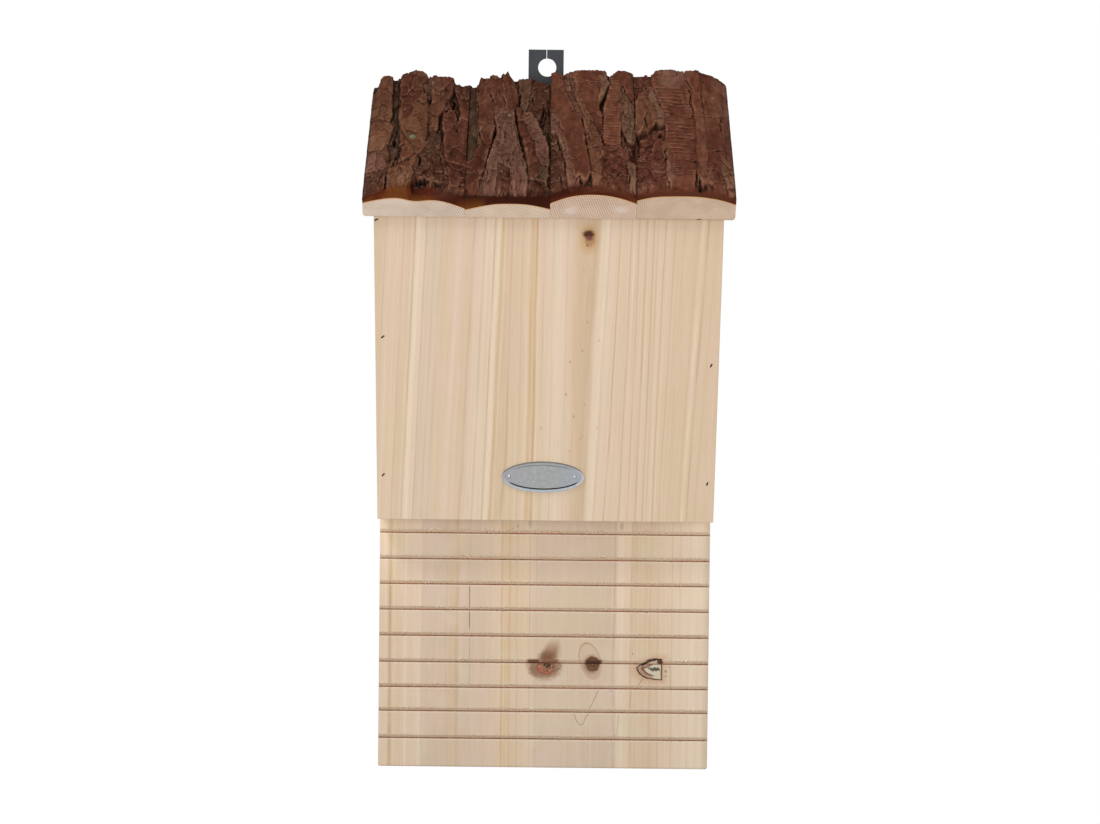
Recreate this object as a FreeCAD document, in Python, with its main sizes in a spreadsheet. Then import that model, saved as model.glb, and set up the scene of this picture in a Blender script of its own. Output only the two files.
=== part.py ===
import FreeCAD, Part
import os
import math
import Sketcher
import PartDesign

# Wooden wall box with a grooved landing board, a front panel that leans out towards a roof
# of four bark-covered slabs, and a steel strap to hang it by.
#
# Frame: millimetres, +Z up, +X to the right as seen from the front, +Y towards the wall.
# The origin is the centre of the strap's hanging hole, on the strap's rear face, which is
# the face that lies against the wall.

V = FreeCAD.Vector
doc = FreeCAD.newDocument("box")

# ---------------------------------------------------------------- driving dimensions
CELLS = [
    ("centre_x", 1.9),          # middle of the boards, beside the strap's hole
    ("board_w", 205.0),         # width of back board and front panel
    ("board_t", 10.0),          # thickness of every board
    ("back_rear", -2.0),        # rear face of the back board
    ("back_foot", -435.5),      # lower end of the back board
    ("edge_round", 0.6),        # arrises taken off the boards
    ("corner_round", 1.4),      # lower corners of the back board
    ("roof_slope", 35.5),       # degrees
    ("roof_y", -105.3),         # lower front corner of the roof's underside
    ("roof_z", -96.8),
    ("roof_rear", -2.0),        # rear end of the roof's underside
    ("slab_gap", 0.1),          # joint between two slabs
    ("front_y", -40.0),         # foot of the front panel's outer face
    ("front_z", -279.1),
    ("front_tilt", 18.86),      # degrees from plumb, leaning out at the top
    ("side_foot", -276.6),      # lower end of the side panels
    # saw grooves across the landing board: height of the deep line of each
    ("groove_deep", 1.4),
    ("groove_shallow", 0.8),
    ("groove_up", 1.9),
    ("groove_mid", 0.25),
    ("groove_down", 0.35),
    ("groove_z_a", -289.3), ("groove_z_b", -305.5), ("groove_z_c", -321.2),
    ("groove_z_d", -337.2), ("groove_z_e", -353.4), ("groove_z_f", -369.8),
    ("groove_z_g", -385.5), ("groove_z_h", -400.4), ("groove_z_i", -417.4),
    ("groove_inside_z", -273.2),     # first of the grooves that the front panel hides
    ("groove_inside_run", 208.0),    # from the first to the last of them
    # strap
    ("strap_w", 21.8), ("strap_t", 2.0), ("strap_top", 11.0), ("strap_low", -70.0),
    ("strap_hole", 5.65), ("strap_slit", 0.35), ("strap_x", -0.7), ("slit_x", -0.35),
    ("screw_z_a", -42.0), ("screw_z_b", -60.0),
    ("screw_head", 3.5), ("screw_neck", 1.7), ("screw_head_t", 1.8), ("screw_len", 10.0),
    # oval plate on the front panel
    ("plate_x", -1.7), ("plate_s", 29.2), ("plate_a", 25.0), ("plate_b", 10.0), ("plate_t", 0.7),
    ("rim_w", 0.8), ("rim_t", 0.35), ("line_in", 1.9), ("line_w", 0.6), ("line_deep", 0.35),
    ("pin_l", -21.9), ("pin_r", 17.9), ("pin_shank", 0.65), ("pin_head", 1.15), ("pin_len", 6.0),
    # nails of one size: roof slabs, and back board to side panels
    ("nail_r", 0.9), ("nail_head_r", 2.0), ("nail_head_t", 1.0), ("nail_len", 28.0),
    ("nail_seat", 16.0),        # underside of a roof nail's head above the roof's underside
    ("nail_front", 6.4),        # along the slope from the roof's front corner
    ("nail_rear", 116.7),
    ("back_nail_x", 97.5), ("back_nail_z_a", -60.0), ("back_nail_z_b", -160.0), ("back_nail_z_c", -262.0),
    # brads of the front panel
    ("brad_w", 1.3), ("brad_t", 1.0), ("brad_len", 24.0), ("brad_head_w", 2.5), ("brad_head_t", 1.0),
    ("brad_sink", 0.7),
]
# roof slabs, left to right: width, then nine heights across each of the wood's back and the
# bark's back, measured square to the slope
SLABS = {
    "one":   (-108.75, 59.60,
              (9.3, 11.3, 12.9, 13.1, 10.2, 11.7, 11.7, 9.4, 6.1),
              (15.4, 21.3, 20.6, 22.8, 22.9, 21.8, 21.0, 18.2, 16.6)),
    "two":   (-49.15, 49.70,
              (5.3, 6.9, 8.5, 9.6, 9.7, 9.7, 9.3, 8.0, 6.2),
              (16.6, 19.6, 20.9, 22.0, 20.8, 19.3, 20.3, 21.2, 20.6)),
    "three": (0.55, 50.50,
              (10.3, 13.5, 15.4, 16.5, 16.7, 16.4, 15.2, 13.4, 10.6),
              (20.8, 22.9, 24.1, 25.3, 24.1, 24.2, 23.4, 24.3, 22.1)),
    "four":  (51.05, 57.70,
              (12.9, 15.2, 16.0, 16.1, 16.3, 16.0, 15.0, 13.5, 10.7),
              (21.6, 22.8, 24.3, 24.2, 24.3, 23.9, 23.8, 22.0, 16.4)),
}
N = 9
for name, (x0, w, wood, bark) in SLABS.items():
    CELLS.append(("slab_%s_x" % name, x0))
    CELLS.append(("slab_%s_w" % name, w))
    for i in range(N):
        CELLS.append(("slab_%s_wood_%s" % (name, "abcdefghi"[i]), wood[i]))
        CELLS.append(("slab_%s_bark_%s" % (name, "abcdefghi"[i]), bark[i]))

sheet = doc.addObject("Spreadsheet::Sheet", "dims")
for row, (alias, value) in enumerate(CELLS, start=1):
    sheet.set("A%d" % row, alias)
    sheet.set("B%d" % row, repr(float(value)))
    sheet.setAlias("B%d" % row, alias)
doc.recompute()
D = {alias: float(value) for alias, value in CELLS}


def e(text):
    """An expression in which every @name is a cell of the sheet."""
    return text.replace("@", "dims.")


def val(text):
    """The same expression as a number, for a first position of the sketch's points."""
    t = text.replace("^", "**")
    out, i = "", 0
    while i < len(t):
        if t[i] == "@":
            j = i + 1
            while j < len(t) and (t[j].isalnum() or t[j] == "_"):
                j += 1
            out += repr(D[t[i + 1:j]])
            i = j
        else:
            out += t[i]
            i += 1
    return Calc(out).result()


class Calc:
    """Plus, minus, times, divide, brackets, sin, cos and tan in degrees."""

    def __init__(self, text):
        self.t = text.replace(" ", "")
        self.i = 0

    def peek(self):
        return self.t[self.i] if self.i < len(self.t) else ""

    def result(self):
        v = self.term()
        while self.peek() and self.peek() in "+-":
            op = self.peek()
            self.i += 1
            w = self.term()
            v = v + w if op == "+" else v - w
        return v

    def term(self):
        v = self.factor()
        while self.peek() and self.peek() in "*/":
            op = self.peek()
            self.i += 1
            w = self.factor()
            v = v * w if op == "*" else v / w
        return v

    def factor(self):
        if self.peek() == "-":
            self.i += 1
            return -self.factor()
        if self.peek() == "(":
            self.i += 1
            v = self.result()
            self.i += 1
            return v
        for name, f in (("sin", math.sin), ("cos", math.cos), ("tan", math.tan)):
            if self.t.startswith(name + "(", self.i):
                self.i += len(name) + 1
                v = self.result()
                self.i += 1
                return f(math.radians(v))
        j = self.i
        while j < len(self.t) and (self.t[j].isdigit() or self.t[j] in ".e" or
                                   (self.t[j] == "-" and self.t[j - 1] == "e")):
            j += 1
        v = float(self.t[self.i:j])
        self.i = j
        return v


# ---------------------------------------------------------------- helpers
def new_body(name, x="0", y="0", z="0", tilt=None):
    body = doc.addObject("PartDesign::Body", name)
    if tilt:
        body.Placement = FreeCAD.Placement(V(val(x), val(y), val(z)), FreeCAD.Rotation(V(1, 0, 0), val(tilt)))
        body.setExpression("Placement.Rotation.Angle", e(tilt))
    else:
        body.Placement = FreeCAD.Placement(V(val(x), val(y), val(z)), FreeCAD.Rotation())
    body.setExpression("Placement.Base.x", e(x))
    body.setExpression("Placement.Base.y", e(y))
    body.setExpression("Placement.Base.z", e(z))
    return body


def plane(body, role):
    return [f for f in body.Origin.OriginFeatures if f.Role == role][0]


def new_sketch(body, name, role="YZ_Plane", offset=None):
    sk = body.newObject("Sketcher::SketchObject", name)
    sk.AttachmentSupport = [(plane(body, role), "")]
    sk.MapMode = "FlatFace"
    if offset:
        sk.AttachmentOffset = offset
    return sk


def pin_point(sk, geo, pos, px, py, tag):
    """Hold one point of a sketch at two expressions."""
    for axis, ex, k in (("X", px, "u"), ("Y", py, "v")):
        if ex == "0":
            sk.addConstraint(Sketcher.Constraint("PointOnObject", geo, pos, -2 if axis == "X" else -1))
        else:
            i = sk.addConstraint(Sketcher.Constraint("Distance" + axis, -1, 1, geo, pos, val(ex)))
            sk.renameConstraint(i, "%s_%s" % (tag, k))
            sk.setExpression("Constraints.%s_%s" % (tag, k), e(ex))


def polygon(sk, points, tag="p"):
    pts = [V(val(a), val(b), 0) for a, b in points]
    n = len(pts)
    first = sk.GeometryCount
    for i in range(n):
        sk.addGeometry(Part.LineSegment(pts[i], pts[(i + 1) % n]), False)
    for i in range(n):
        sk.addConstraint(Sketcher.Constraint("Coincident", first + i, 2, first + (i + 1) % n, 1))
    for i, (a, b) in enumerate(points):
        pin_point(sk, first + i, 1, a, b, "%s%d" % (tag, i))


def spline_open(sk, points, tag):
    """An open cubic spline whose control points are held at expressions."""
    pts = [V(val(a), val(b), 0) for a, b in points]
    c = Part.BSplineCurve()
    k = len(pts) - 3
    c.buildFromPolesMultsKnots(pts, [4] + [1] * (k - 1) + [4], [i / k for i in range(k + 1)], False, 3)
    g = sk.addGeometry(c, False)
    ids = []
    for i, p in enumerate(pts):
        q = sk.addGeometry(Part.Circle(p, V(0, 0, 1), 1.0), True)
        ids.append(q)
    cons = [Sketcher.Constraint("Weight", ids[0], 1.0)]
    cons += [Sketcher.Constraint("Equal", ids[0], q) for q in ids[1:]]
    cons += [Sketcher.Constraint("InternalAlignment:Sketcher::BSplineControlPoint", q, 3, g, i)
             for i, q in enumerate(ids)]
    sk.addConstraint(cons)
    for i, (a, b) in enumerate(points):
        pin_point(sk, ids[i], 3, a, b, "%s%d" % (tag, i))
    return g, pts


def pad(body, name, sk, length, mid=False, rev=False):
    f = body.newObject("PartDesign::Pad", name)
    f.Profile = sk
    f.Length = val(length)
    f.setExpression("Length", e(length))
    if mid:
        f.SideType = "Symmetric"
    f.Reversed = rev
    sk.Visibility = False
    body.Tip = f
    doc.recompute()
    return f


def pocket(body, name, sk, length, mid=False, rev=False):
    before = body.Shape.Volume
    f = body.newObject("PartDesign::Pocket", name)
    f.Profile = sk
    f.Length = val(length)
    f.setExpression("Length", e(length))
    if mid:
        f.SideType = "Symmetric"
    f.Reversed = rev
    sk.Visibility = False
    body.Tip = f
    doc.recompute()
    if not body.Shape.Volume < before - 0.01:
        raise SystemExit("%s of %s cuts nothing" % (name, body.Name))
    return f


def edges_where(shape, test):
    names = []
    for i, ed in enumerate(shape.Edges, start=1):
        a, b = ed.Vertexes[0].Point, ed.Vertexes[-1].Point
        if test(a, b):
            names.append("Edge%d" % i)
    return names


def fillet(body, name, base, names, radius):
    f = body.newObject("PartDesign::Fillet", name)
    f.Base = (base, names)
    f.Radius = val(radius)
    f.setExpression("Radius", e(radius))
    body.Tip = f
    doc.recompute()
    return f


SUBPARTS = []


def keep(obj, label):
    obj.Label = label
    SUBPARTS.append(obj)
    return obj


def prim(kind, name, sizes, place):
    o = doc.addObject(kind, name)
    for k, ex in sizes.items():
        setattr(o, k, val(ex))
        o.setExpression(k, e(ex))
    o.Placement = place
    return o


def place_expr(o, x=None, y=None, z=None):
    for k, ex in (("x", x), ("y", y), ("z", z)):
        if ex is not None:
            setattr(o.Placement.Base, k, val(ex))
            o.setExpression("Placement.Base." + k, e(ex))


def compound(name, items):
    o = doc.addObject("Part::Compound", name)
    o.Links = items
    for i in items:
        i.Visibility = False
    return o


def fuse(name, items):
    o = doc.addObject("Part::MultiFuse", name)
    o.Shapes = items
    return o


def cut(name, base, tool):
    o = doc.addObject("Part::Cut", name)
    o.Base = base
    o.Tool = tool
    return o


# ---------------------------------------------------------------- fasteners
SLOPE = FreeCAD.Rotation(V(1, 0, 0), D["roof_slope"])
TILT = FreeCAD.Rotation(V(1, 0, 0), D["front_tilt"])
ROOF0 = V(0, D["roof_y"], D["roof_z"])
FRONT0 = V(0, D["front_y"], D["front_z"])


def nail(name, head_base, rot, xyz_expr=None):
    """A nail of the one size; its head's underside is at head_base and its shank runs along the
    rotated -Z."""
    shank = prim("Part::Cylinder", name + "_shank", {"Radius": "@nail_r", "Height": "@nail_len - 2.5"},
                 FreeCAD.Placement(head_base + rot.multVec(V(0, 0, -(D["nail_len"] - 2.5))), rot))
    tip = prim("Part::Cone", name + "_tip", {"Radius1": "0.15", "Radius2": "@nail_r", "Height": "2.5"},
               FreeCAD.Placement(head_base + rot.multVec(V(0, 0, -D["nail_len"])), rot))
    head = prim("Part::Cylinder", name + "_head", {"Radius": "@nail_head_r", "Height": "@nail_head_t"},
                FreeCAD.Placement(head_base, rot))
    return fuse(name, [shank, tip, head])


# roof nails: one through each slab into the front panel's top edge, one into the back board's
roof_nails = []
channels = []
OFF = {"one": (2.5, -3.0), "two": (-1.5, 2.0), "three": (1.0, -2.0), "four": (3.0, 0.5)}
for sname, (x0, w, _, _) in SLABS.items():
    for end, s in (("front", D["nail_front"]), ("rear", D["nail_rear"])):
        dx = OFF[sname][0 if end == "front" else 1]
        base = V(D["centre_x"] + x0 + w / 2 + dx, D["roof_y"], D["roof_z"]) + SLOPE.multVec(V(0, s, D["nail_seat"]))
        roof_nails.append(nail("nail_%s_%s" % (sname, end), base, SLOPE))
        # the way that the nail's head was driven down through the bark
        top = base + SLOPE.multVec(V(0, 0, D["nail_head_t"]))
        channels.append(prim("Part::Cylinder", "channel_%s_%s" % (sname, end),
                             {"Radius": "@nail_head_r", "Height": "14"}, FreeCAD.Placement(top, SLOPE)))
roof_nail_set = compound("roof_nail_set", roof_nails)
channel_set = compound("channel_set", channels)

# nails from behind, through the back board into the side panels
BACKROT = FreeCAD.Rotation(V(1, 0, 0), -90)      # +Z of the nail turns to +Y
back_nails = []
for side in (-1, 1):
    for zc in ("back_nail_z_a", "back_nail_z_b", "back_nail_z_c"):
        base = V(D["centre_x"] + side * D["back_nail_x"], D["back_rear"] - D["nail_head_t"], D[zc])
        back_nails.append(nail("backnail_%s_%s" % ("l" if side < 0 else "r", zc[-1]), base, BACKROT))
back_nail_set = compound("back_nail_set", back_nails)

# brads of the front panel: (x, height up the panel, turn in degrees), each a flat pin with a
# narrow head, driven a little below the surface
BRADS = [(-101.0, 190.6, 22.0), (-98.0, 118.0, 38.0), (-98.6, 29.3, 48.0), (97.9, 102.1, 66.0), (98.0, 25.6, 72.0)]
brads, sinks = [], []
for i, (bx, bs, turn) in enumerate(BRADS):
    # local frame: X across, Y up the panel, Z out of the face; then the panel's own tilt
    face = FreeCAD.Rotation(V(1, 0, 0), 90)       # sketch-like: local Z -> -Y
    rot = TILT.multiply(face).multiply(FreeCAD.Rotation(V(0, 0, 1), turn))
    p = V(D["centre_x"] + bx, D["front_y"], D["front_z"]) + TILT.multVec(V(0, 0, bs))

    def at(x, y, z, p=p, rot=rot):
        return FreeCAD.Placement(p + rot.multVec(V(x, y, z)), rot)
    sink = D["brad_sink"]
    shank = prim("Part::Box", "brad%d_shank" % i, {"Length": "@brad_w", "Width": "@brad_t", "Height": "@brad_len"},
                 at(-D["brad_w"] / 2, -D["brad_t"] / 2, -D["brad_len"] - sink))
    head = prim("Part::Box", "brad%d_head" % i, {"Length": "@brad_head_w", "Width": "@brad_head_t", "Height": "1"},
                at(-D["brad_head_w"] / 2, -D["brad_head_t"] / 2, -1.0 - sink))
    brads.append(fuse("brad%d" % i, [shank, head]))
    sinks.append(prim("Part::Box", "sink%d" % i,
                      {"Length": "@brad_head_w", "Width": "@brad_head_t", "Height": "@brad_sink + 1"},
                      at(-D["brad_head_w"] / 2, -D["brad_head_t"] / 2, -sink)))
brad_set = compound("brad_set", brads)
sink_set = compound("sink_set", sinks)

# pins of the oval plate: domed heads on the plate
pins = []
for i, px in enumerate(("pin_l", "pin_r")):
    p = V(D["centre_x"] + D[px], D["front_y"], D["front_z"]) + TILT.multVec(V(0, -D["plate_t"], D["plate_s"]))
    rot = TILT.multiply(FreeCAD.Rotation(V(1, 0, 0), 90))
    shank = prim("Part::Cylinder", "platepin%d_shank" % i, {"Radius": "@pin_shank", "Height": "@pin_len"},
                 FreeCAD.Placement(p + rot.multVec(V(0, 0, -D["pin_len"])), rot))
    dome = prim("Part::Sphere", "platepin%d_dome" % i, {"Radius": "@pin_head*1.35"},
                FreeCAD.Placement(p + rot.multVec(V(0, 0, -D["pin_head"] * 0.907)), rot))
    trim = prim("Part::Cylinder", "platepin%d_trim" % i, {"Radius": "@pin_head*2", "Height": "@pin_head"},
                FreeCAD.Placement(p, rot))
    head = doc.addObject("Part::Common", "platepin%d_head" % i)
    head.Base, head.Tool = dome, trim
    pins.append(fuse("platepin%d" % i, [shank, head]))
pin_set = compound("pin_set", pins)

# screws of the strap, driven from behind into the back board
screws = []
for zc in ("screw_z_a", "screw_z_b"):
    head = prim("Part::Cone", "screw%s_head" % zc[-1],
                {"Radius1": "@screw_neck", "Radius2": "@screw_head", "Height": "@screw_head_t"},
                FreeCAD.Placement(V(0, -D["screw_head_t"], D[zc]), BACKROT))
    shank = prim("Part::Cylinder", "screw%s_shank" % zc[-1],
                 {"Radius": "@screw_neck", "Height": "@screw_len - @screw_head_t - 1.8"},
                 FreeCAD.Placement(V(0, -(D["screw_len"] - 1.8), D[zc]), BACKROT))
    tip = prim("Part::Cone", "screw%s_tip" % zc[-1], {"Radius1": "0.3", "Radius2": "@screw_neck", "Height": "1.8"},
               FreeCAD.Placement(V(0, -D["screw_len"], D[zc]), BACKROT))
    body_fuse = fuse("screw%s_blank" % zc[-1], [head, shank, tip])
    # cross recess in the head
    r1 = prim("Part::Box", "screw%s_cross1" % zc[-1], {"Length": "3.6", "Width": "1.2", "Height": "0.8"},
              FreeCAD.Placement(V(-1.8, -1.2, D[zc] - 0.4), FreeCAD.Rotation()))
    r2 = prim("Part::Box", "screw%s_cross2" % zc[-1], {"Length": "0.8", "Width": "1.2", "Height": "3.6"},
              FreeCAD.Placement(V(-0.4, -1.2, D[zc] - 1.8), FreeCAD.Rotation()))
    cross = fuse("screw%s_cross" % zc[-1], [r1, r2])
    screws.append(cut("screw%s" % zc[-1], body_fuse, cross))
screw_set = compound("screw_set", screws)
# the holes that the screws fill, without the recess in the heads
screw_holes = compound("screw_holes", [doc.getObject("screwa_blank"), doc.getObject("screwb_blank")])
doc.recompute()

# ---------------------------------------------------------------- back board
UNDER = "(@roof_z + (%s - @roof_y)*tan(@roof_slope))"      # height of the roof's underside at a y
FRONT_FACE = "(@back_rear - @board_t)"
b = new_body("back_board_body", x="@centre_x")
sk = new_sketch(b, "back_profile")
polygon(sk, [(FRONT_FACE, "@back_foot"), ("@back_rear", "@back_foot"),
             ("@back_rear", UNDER % "@back_rear"), (FRONT_FACE, UNDER % FRONT_FACE)])
p = pad(b, "back_pad", sk, "@board_w", mid=True)
hw, foot = D["board_w"] / 2, D["back_foot"]
corners = edges_where(p.Shape, lambda a, c: abs(abs(a.x) - hw) < .01 and abs(abs(c.x) - hw) < .01 and
                      abs(a.z - foot) < .01 and abs(c.z - foot) < .01)
f = fillet(b, "back_corners", p, corners, "@corner_round")
front = D["back_rear"] - D["board_t"]
arris = edges_where(f.Shape, lambda a, c: (abs(a.y - front) < .01 and abs(c.y - front) < .01 or
                                           abs(a.y - D["back_rear"]) < .01 and abs(c.y - D["back_rear"]) < .01)
                    and not (a.z > -60 and c.z > -60))
f = fillet(b, "back_arris", f, arris, "@edge_round")


def groove_points(z):
    return [("%s - 1" % FRONT_FACE, "%s + @groove_up" % z), (FRONT_FACE, "%s + @groove_up" % z),
            ("%s + @groove_shallow" % FRONT_FACE, "%s + @groove_mid" % z),
            ("%s + @groove_deep" % FRONT_FACE, "%s + @groove_mid" % z),
            ("%s + @groove_deep" % FRONT_FACE, "%s - @groove_down" % z),
            ("%s - 1" % FRONT_FACE, "%s - @groove_down" % z)]


sk = new_sketch(b, "groove_profiles")
for letter in "abcdefghi":
    polygon(sk, groove_points("@groove_z_%s" % letter), tag="g" + letter)
pocket(b, "grooves_seen", sk, "@board_w + 4", mid=True)
sk = new_sketch(b, "groove_profile_inside")
polygon(sk, groove_points("@groove_inside_z"))
g = pocket(b, "groove_inside", sk, "@board_w + 4", mid=True)
before = b.Shape.Volume
lp = b.newObject("PartDesign::LinearPattern", "grooves_inside")
lp.Originals = [g]
lp.Direction = (plane(b, "Z_Axis"), [""])
lp.Length = val("@groove_inside_run")
lp.setExpression("Length", e("@groove_inside_run"))
lp.Occurrences = 14
b.Tip = lp
doc.recompute()
if not b.Shape.Volume < before - 0.01:
    raise SystemExit("the hidden grooves cut nothing")
tool = compound("back_board_tools", [roof_nail_set, back_nail_set, screw_holes])
keep(cut("back_board", b, tool), "back_board")

# ---------------------------------------------------------------- front panel
# heights up the panel at which its outer and inner faces meet the roof's underside
RISE = "(cos(@front_tilt) + sin(@front_tilt)*tan(@roof_slope))"
TOP_OUT = "((@roof_z + (@front_y - @roof_y)*tan(@roof_slope) - @front_z)/" + RISE + ")"
TOP_IN = ("((@roof_z + (@front_y + @board_t*cos(@front_tilt) - @roof_y)*tan(@roof_slope) - @front_z"
          " - @board_t*sin(@front_tilt))/" + RISE + ")")
b = new_body("front_panel_body", x="@centre_x", y="@front_y", z="@front_z", tilt="@front_tilt")
sk = new_sketch(b, "front_profile")
polygon(sk, [("0", "0"), ("@board_t", "0"), ("@board_t", TOP_IN), ("0", TOP_OUT)])
p = pad(b, "front_pad", sk, "@board_w", mid=True)
arris = edges_where(p.Shape, lambda a, c: min(a.z, c.z) < 1.0)
f = fillet(b, "front_arris", p, arris, "@edge_round")
tool = compound("front_panel_tools", [brad_set, sink_set, roof_nail_set, pin_set])
keep(cut("front_panel", b, tool), "front_panel")

# ---------------------------------------------------------------- side panels
IN_Y = "(@front_y + @board_t*cos(@front_tilt))"
IN_Z = "(@front_z + @board_t*sin(@front_tilt))"
FOOT_Y = "(%s + (%s - @side_foot)*tan(@front_tilt))" % (IN_Y, IN_Z)
TOP_Y = "(%s - %s*sin(@front_tilt))" % (IN_Y, TOP_IN)
TOP_Z = "(%s + %s*cos(@front_tilt))" % (IN_Z, TOP_IN)
for label, x, on in (("side_panel_left", "@centre_x - @board_w/2", 0), ("side_panel_right", "@centre_x + @board_w/2 - @board_t", 1)):
    b = new_body(label + "_body", x=x)
    sk = new_sketch(b, label + "_profile")
    polygon(sk, [(FRONT_FACE, "@side_foot"), (FRONT_FACE, UNDER % FRONT_FACE), (TOP_Y, TOP_Z), (FOOT_Y, "@side_foot")])
    p = pad(b, label + "_pad", sk, "@board_t")
    tool = compound(label + "_tools", [brad_set, back_nail_set])
    keep(cut(label, b, tool), label)

# ---------------------------------------------------------------- roof slabs and their bark
LEN = "((@roof_rear - @roof_y)/cos(@roof_slope))"
for k, (sname, (x0, w, wood, bark)) in enumerate(SLABS.items(), start=1):
    base_x = "@centre_x + @slab_%s_x" % sname
    width = "@slab_%s_w" % sname

    def across(i, tag):
        # control points start just inside the joint on each side
        return ("@slab_gap/2 + (%s - @slab_gap)*%s/8" % (width, repr(float(i))), "@slab_%s_%s_%s" % (sname, tag, "abcdefghi"[i]))

    b = new_body("roof_slab_%d_body" % k, x=base_x, y="@roof_y", z="@roof_z", tilt="@roof_slope")
    sk = new_sketch(b, "slab_profile_%d" % k, role="XZ_Plane")
    g, pts = spline_open(sk, [across(i, "wood") for i in range(N)], "w")
    L, R = "@slab_gap/2", "%s - @slab_gap/2" % width
    ll = sk.addGeometry(Part.LineSegment(V(val(L), 0, 0), pts[0]), False)
    rr = sk.addGeometry(Part.LineSegment(pts[-1], V(val(R), 0, 0)), False)
    bb = sk.addGeometry(Part.LineSegment(V(val(R), 0, 0), V(val(L), 0, 0)), False)
    for c in (("Coincident", ll, 2, g, 1), ("Coincident", g, 2, rr, 1), ("Coincident", rr, 2, bb, 1), ("Coincident", bb, 2, ll, 1)):
        sk.addConstraint(Sketcher.Constraint(*c))
    pin_point(sk, ll, 1, L, "0", "low_left")
    pin_point(sk, rr, 2, R, "0", "low_right")
    p = pad(b, "slab_pad_%d" % k, sk, LEN, rev=True)
    if k in (1, 4):
        xe = val(L) if k == 1 else val(R)
        names = edges_where(p.Shape, lambda a, c: abs(a.x - xe) < .01 and abs(c.x - xe) < .01 and abs(a.z) < .01 and abs(c.z) < .01)
        fillet(b, "slab_corner_%d" % k, p, names, "@corner_round + 0.6")
    keep(cut("roof_slab_%d" % k, b, roof_nail_set), "roof_slab_%d" % k)

    b = new_body("roof_bark_%d_body" % k, x=base_x, y="@roof_y", z="@roof_z", tilt="@roof_slope")
    sk = new_sketch(b, "bark_profile_%d" % k, role="XZ_Plane")
    g, pts = spline_open(sk, [across(i, "wood") for i in range(N)], "w")
    h, qts = spline_open(sk, [across(i, "bark") for i in range(N)], "b")
    ll = sk.addGeometry(Part.LineSegment(pts[0], qts[0]), False)
    rr = sk.addGeometry(Part.LineSegment(pts[-1], qts[-1]), False)
    for c in (("Coincident", ll, 1, g, 1), ("Coincident", ll, 2, h, 1), ("Coincident", rr, 1, g, 2), ("Coincident", rr, 2, h, 2)):
        sk.addConstraint(Sketcher.Constraint(*c))
    pad(b, "bark_pad_%d" % k, sk, LEN, rev=True)
    tool = compound("roof_bark_%d_tools" % k, [roof_nail_set, channel_set])
    keep(cut("roof_bark_%d" % k, b, tool), "roof_bark_%d" % k)

# ---------------------------------------------------------------- strap
b = new_body("hanger_strap_body")
sk = new_sketch(b, "strap_profile", role="XZ_Plane")
polygon(sk, [("@strap_x - @strap_w/2", "@strap_low"), ("@strap_x + @strap_w/2", "@strap_low"),
             ("@strap_x + @strap_w/2", "@strap_top"), ("@strap_x - @strap_w/2", "@strap_top")])
p = pad(b, "strap_pad", sk, "@strap_t")
sk = new_sketch(b, "strap_hole_profile", role="XZ_Plane")
c = sk.addGeometry(Part.Circle(V(0, 0, 0), V(0, 0, 1), D["strap_hole"]), False)
sk.addConstraint(Sketcher.Constraint("Coincident", c, 3, -1, 1))
i = sk.addConstraint(Sketcher.Constraint("Radius", c, D["strap_hole"]))
sk.renameConstraint(i, "hole")
sk.setExpression("Constraints.hole", e("@strap_hole"))
pocket(b, "strap_hole", sk, "@strap_t*2 + 2", mid=True)
sk = new_sketch(b, "strap_slit_profile", role="XZ_Plane")
polygon(sk, [("@slit_x - @strap_slit/2", "@strap_hole - 0.6"), ("@slit_x + @strap_slit/2", "@strap_hole - 0.6"),
             ("@slit_x + @strap_slit/2", "@strap_top + 1"), ("@slit_x - @strap_slit/2", "@strap_top + 1")])
pocket(b, "strap_slit", sk, "@strap_t*2 + 2", mid=True)
strap_tool = compound("strap_tools", [screw_holes])
keep(cut("hanger_strap", b, strap_tool), "hanger_strap")

# ---------------------------------------------------------------- oval plate
b = new_body("nameplate_body", x="@centre_x + @plate_x", y="@front_y - @plate_s*sin(@front_tilt)",
             z="@front_z + @plate_s*cos(@front_tilt)", tilt="@front_tilt")


def ellipses(sk, sizes):
    for j, (ra, rb) in enumerate(sizes):
        a, bb_ = val(ra), val(rb)
        c = sk.addGeometry(Part.Ellipse(V(a, 0, 0), V(0, bb_, 0), V(0, 0, 0)), False)
        sk.exposeInternalGeometry(c)
        sk.addConstraint(Sketcher.Constraint("Coincident", c, 3, -1, 1))
        major = [q for q in range(c + 1, sk.GeometryCount) if sk.Geometry[q].TypeId == "Part::GeomLineSegment"][:2]
        i = sk.addConstraint(Sketcher.Constraint("DistanceX", major[0], 2, major[0], 1, 2 * a) if
                             sk.Geometry[major[0]].StartPoint.x > sk.Geometry[major[0]].EndPoint.x else
                             Sketcher.Constraint("DistanceX", major[0], 1, major[0], 2, 2 * a))
        sk.renameConstraint(i, "major%d" % j)
        sk.setExpression("Constraints.major%d" % j, e("2*(%s)" % ra))
        i = sk.addConstraint(Sketcher.Constraint("DistanceY", major[1], 2, major[1], 1, 2 * bb_) if
                             sk.Geometry[major[1]].StartPoint.y > sk.Geometry[major[1]].EndPoint.y else
                             Sketcher.Constraint("DistanceY", major[1], 1, major[1], 2, 2 * bb_))
        sk.renameConstraint(i, "minor%d" % j)
        sk.setExpression("Constraints.minor%d" % j, e("2*(%s)" % rb))


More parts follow.
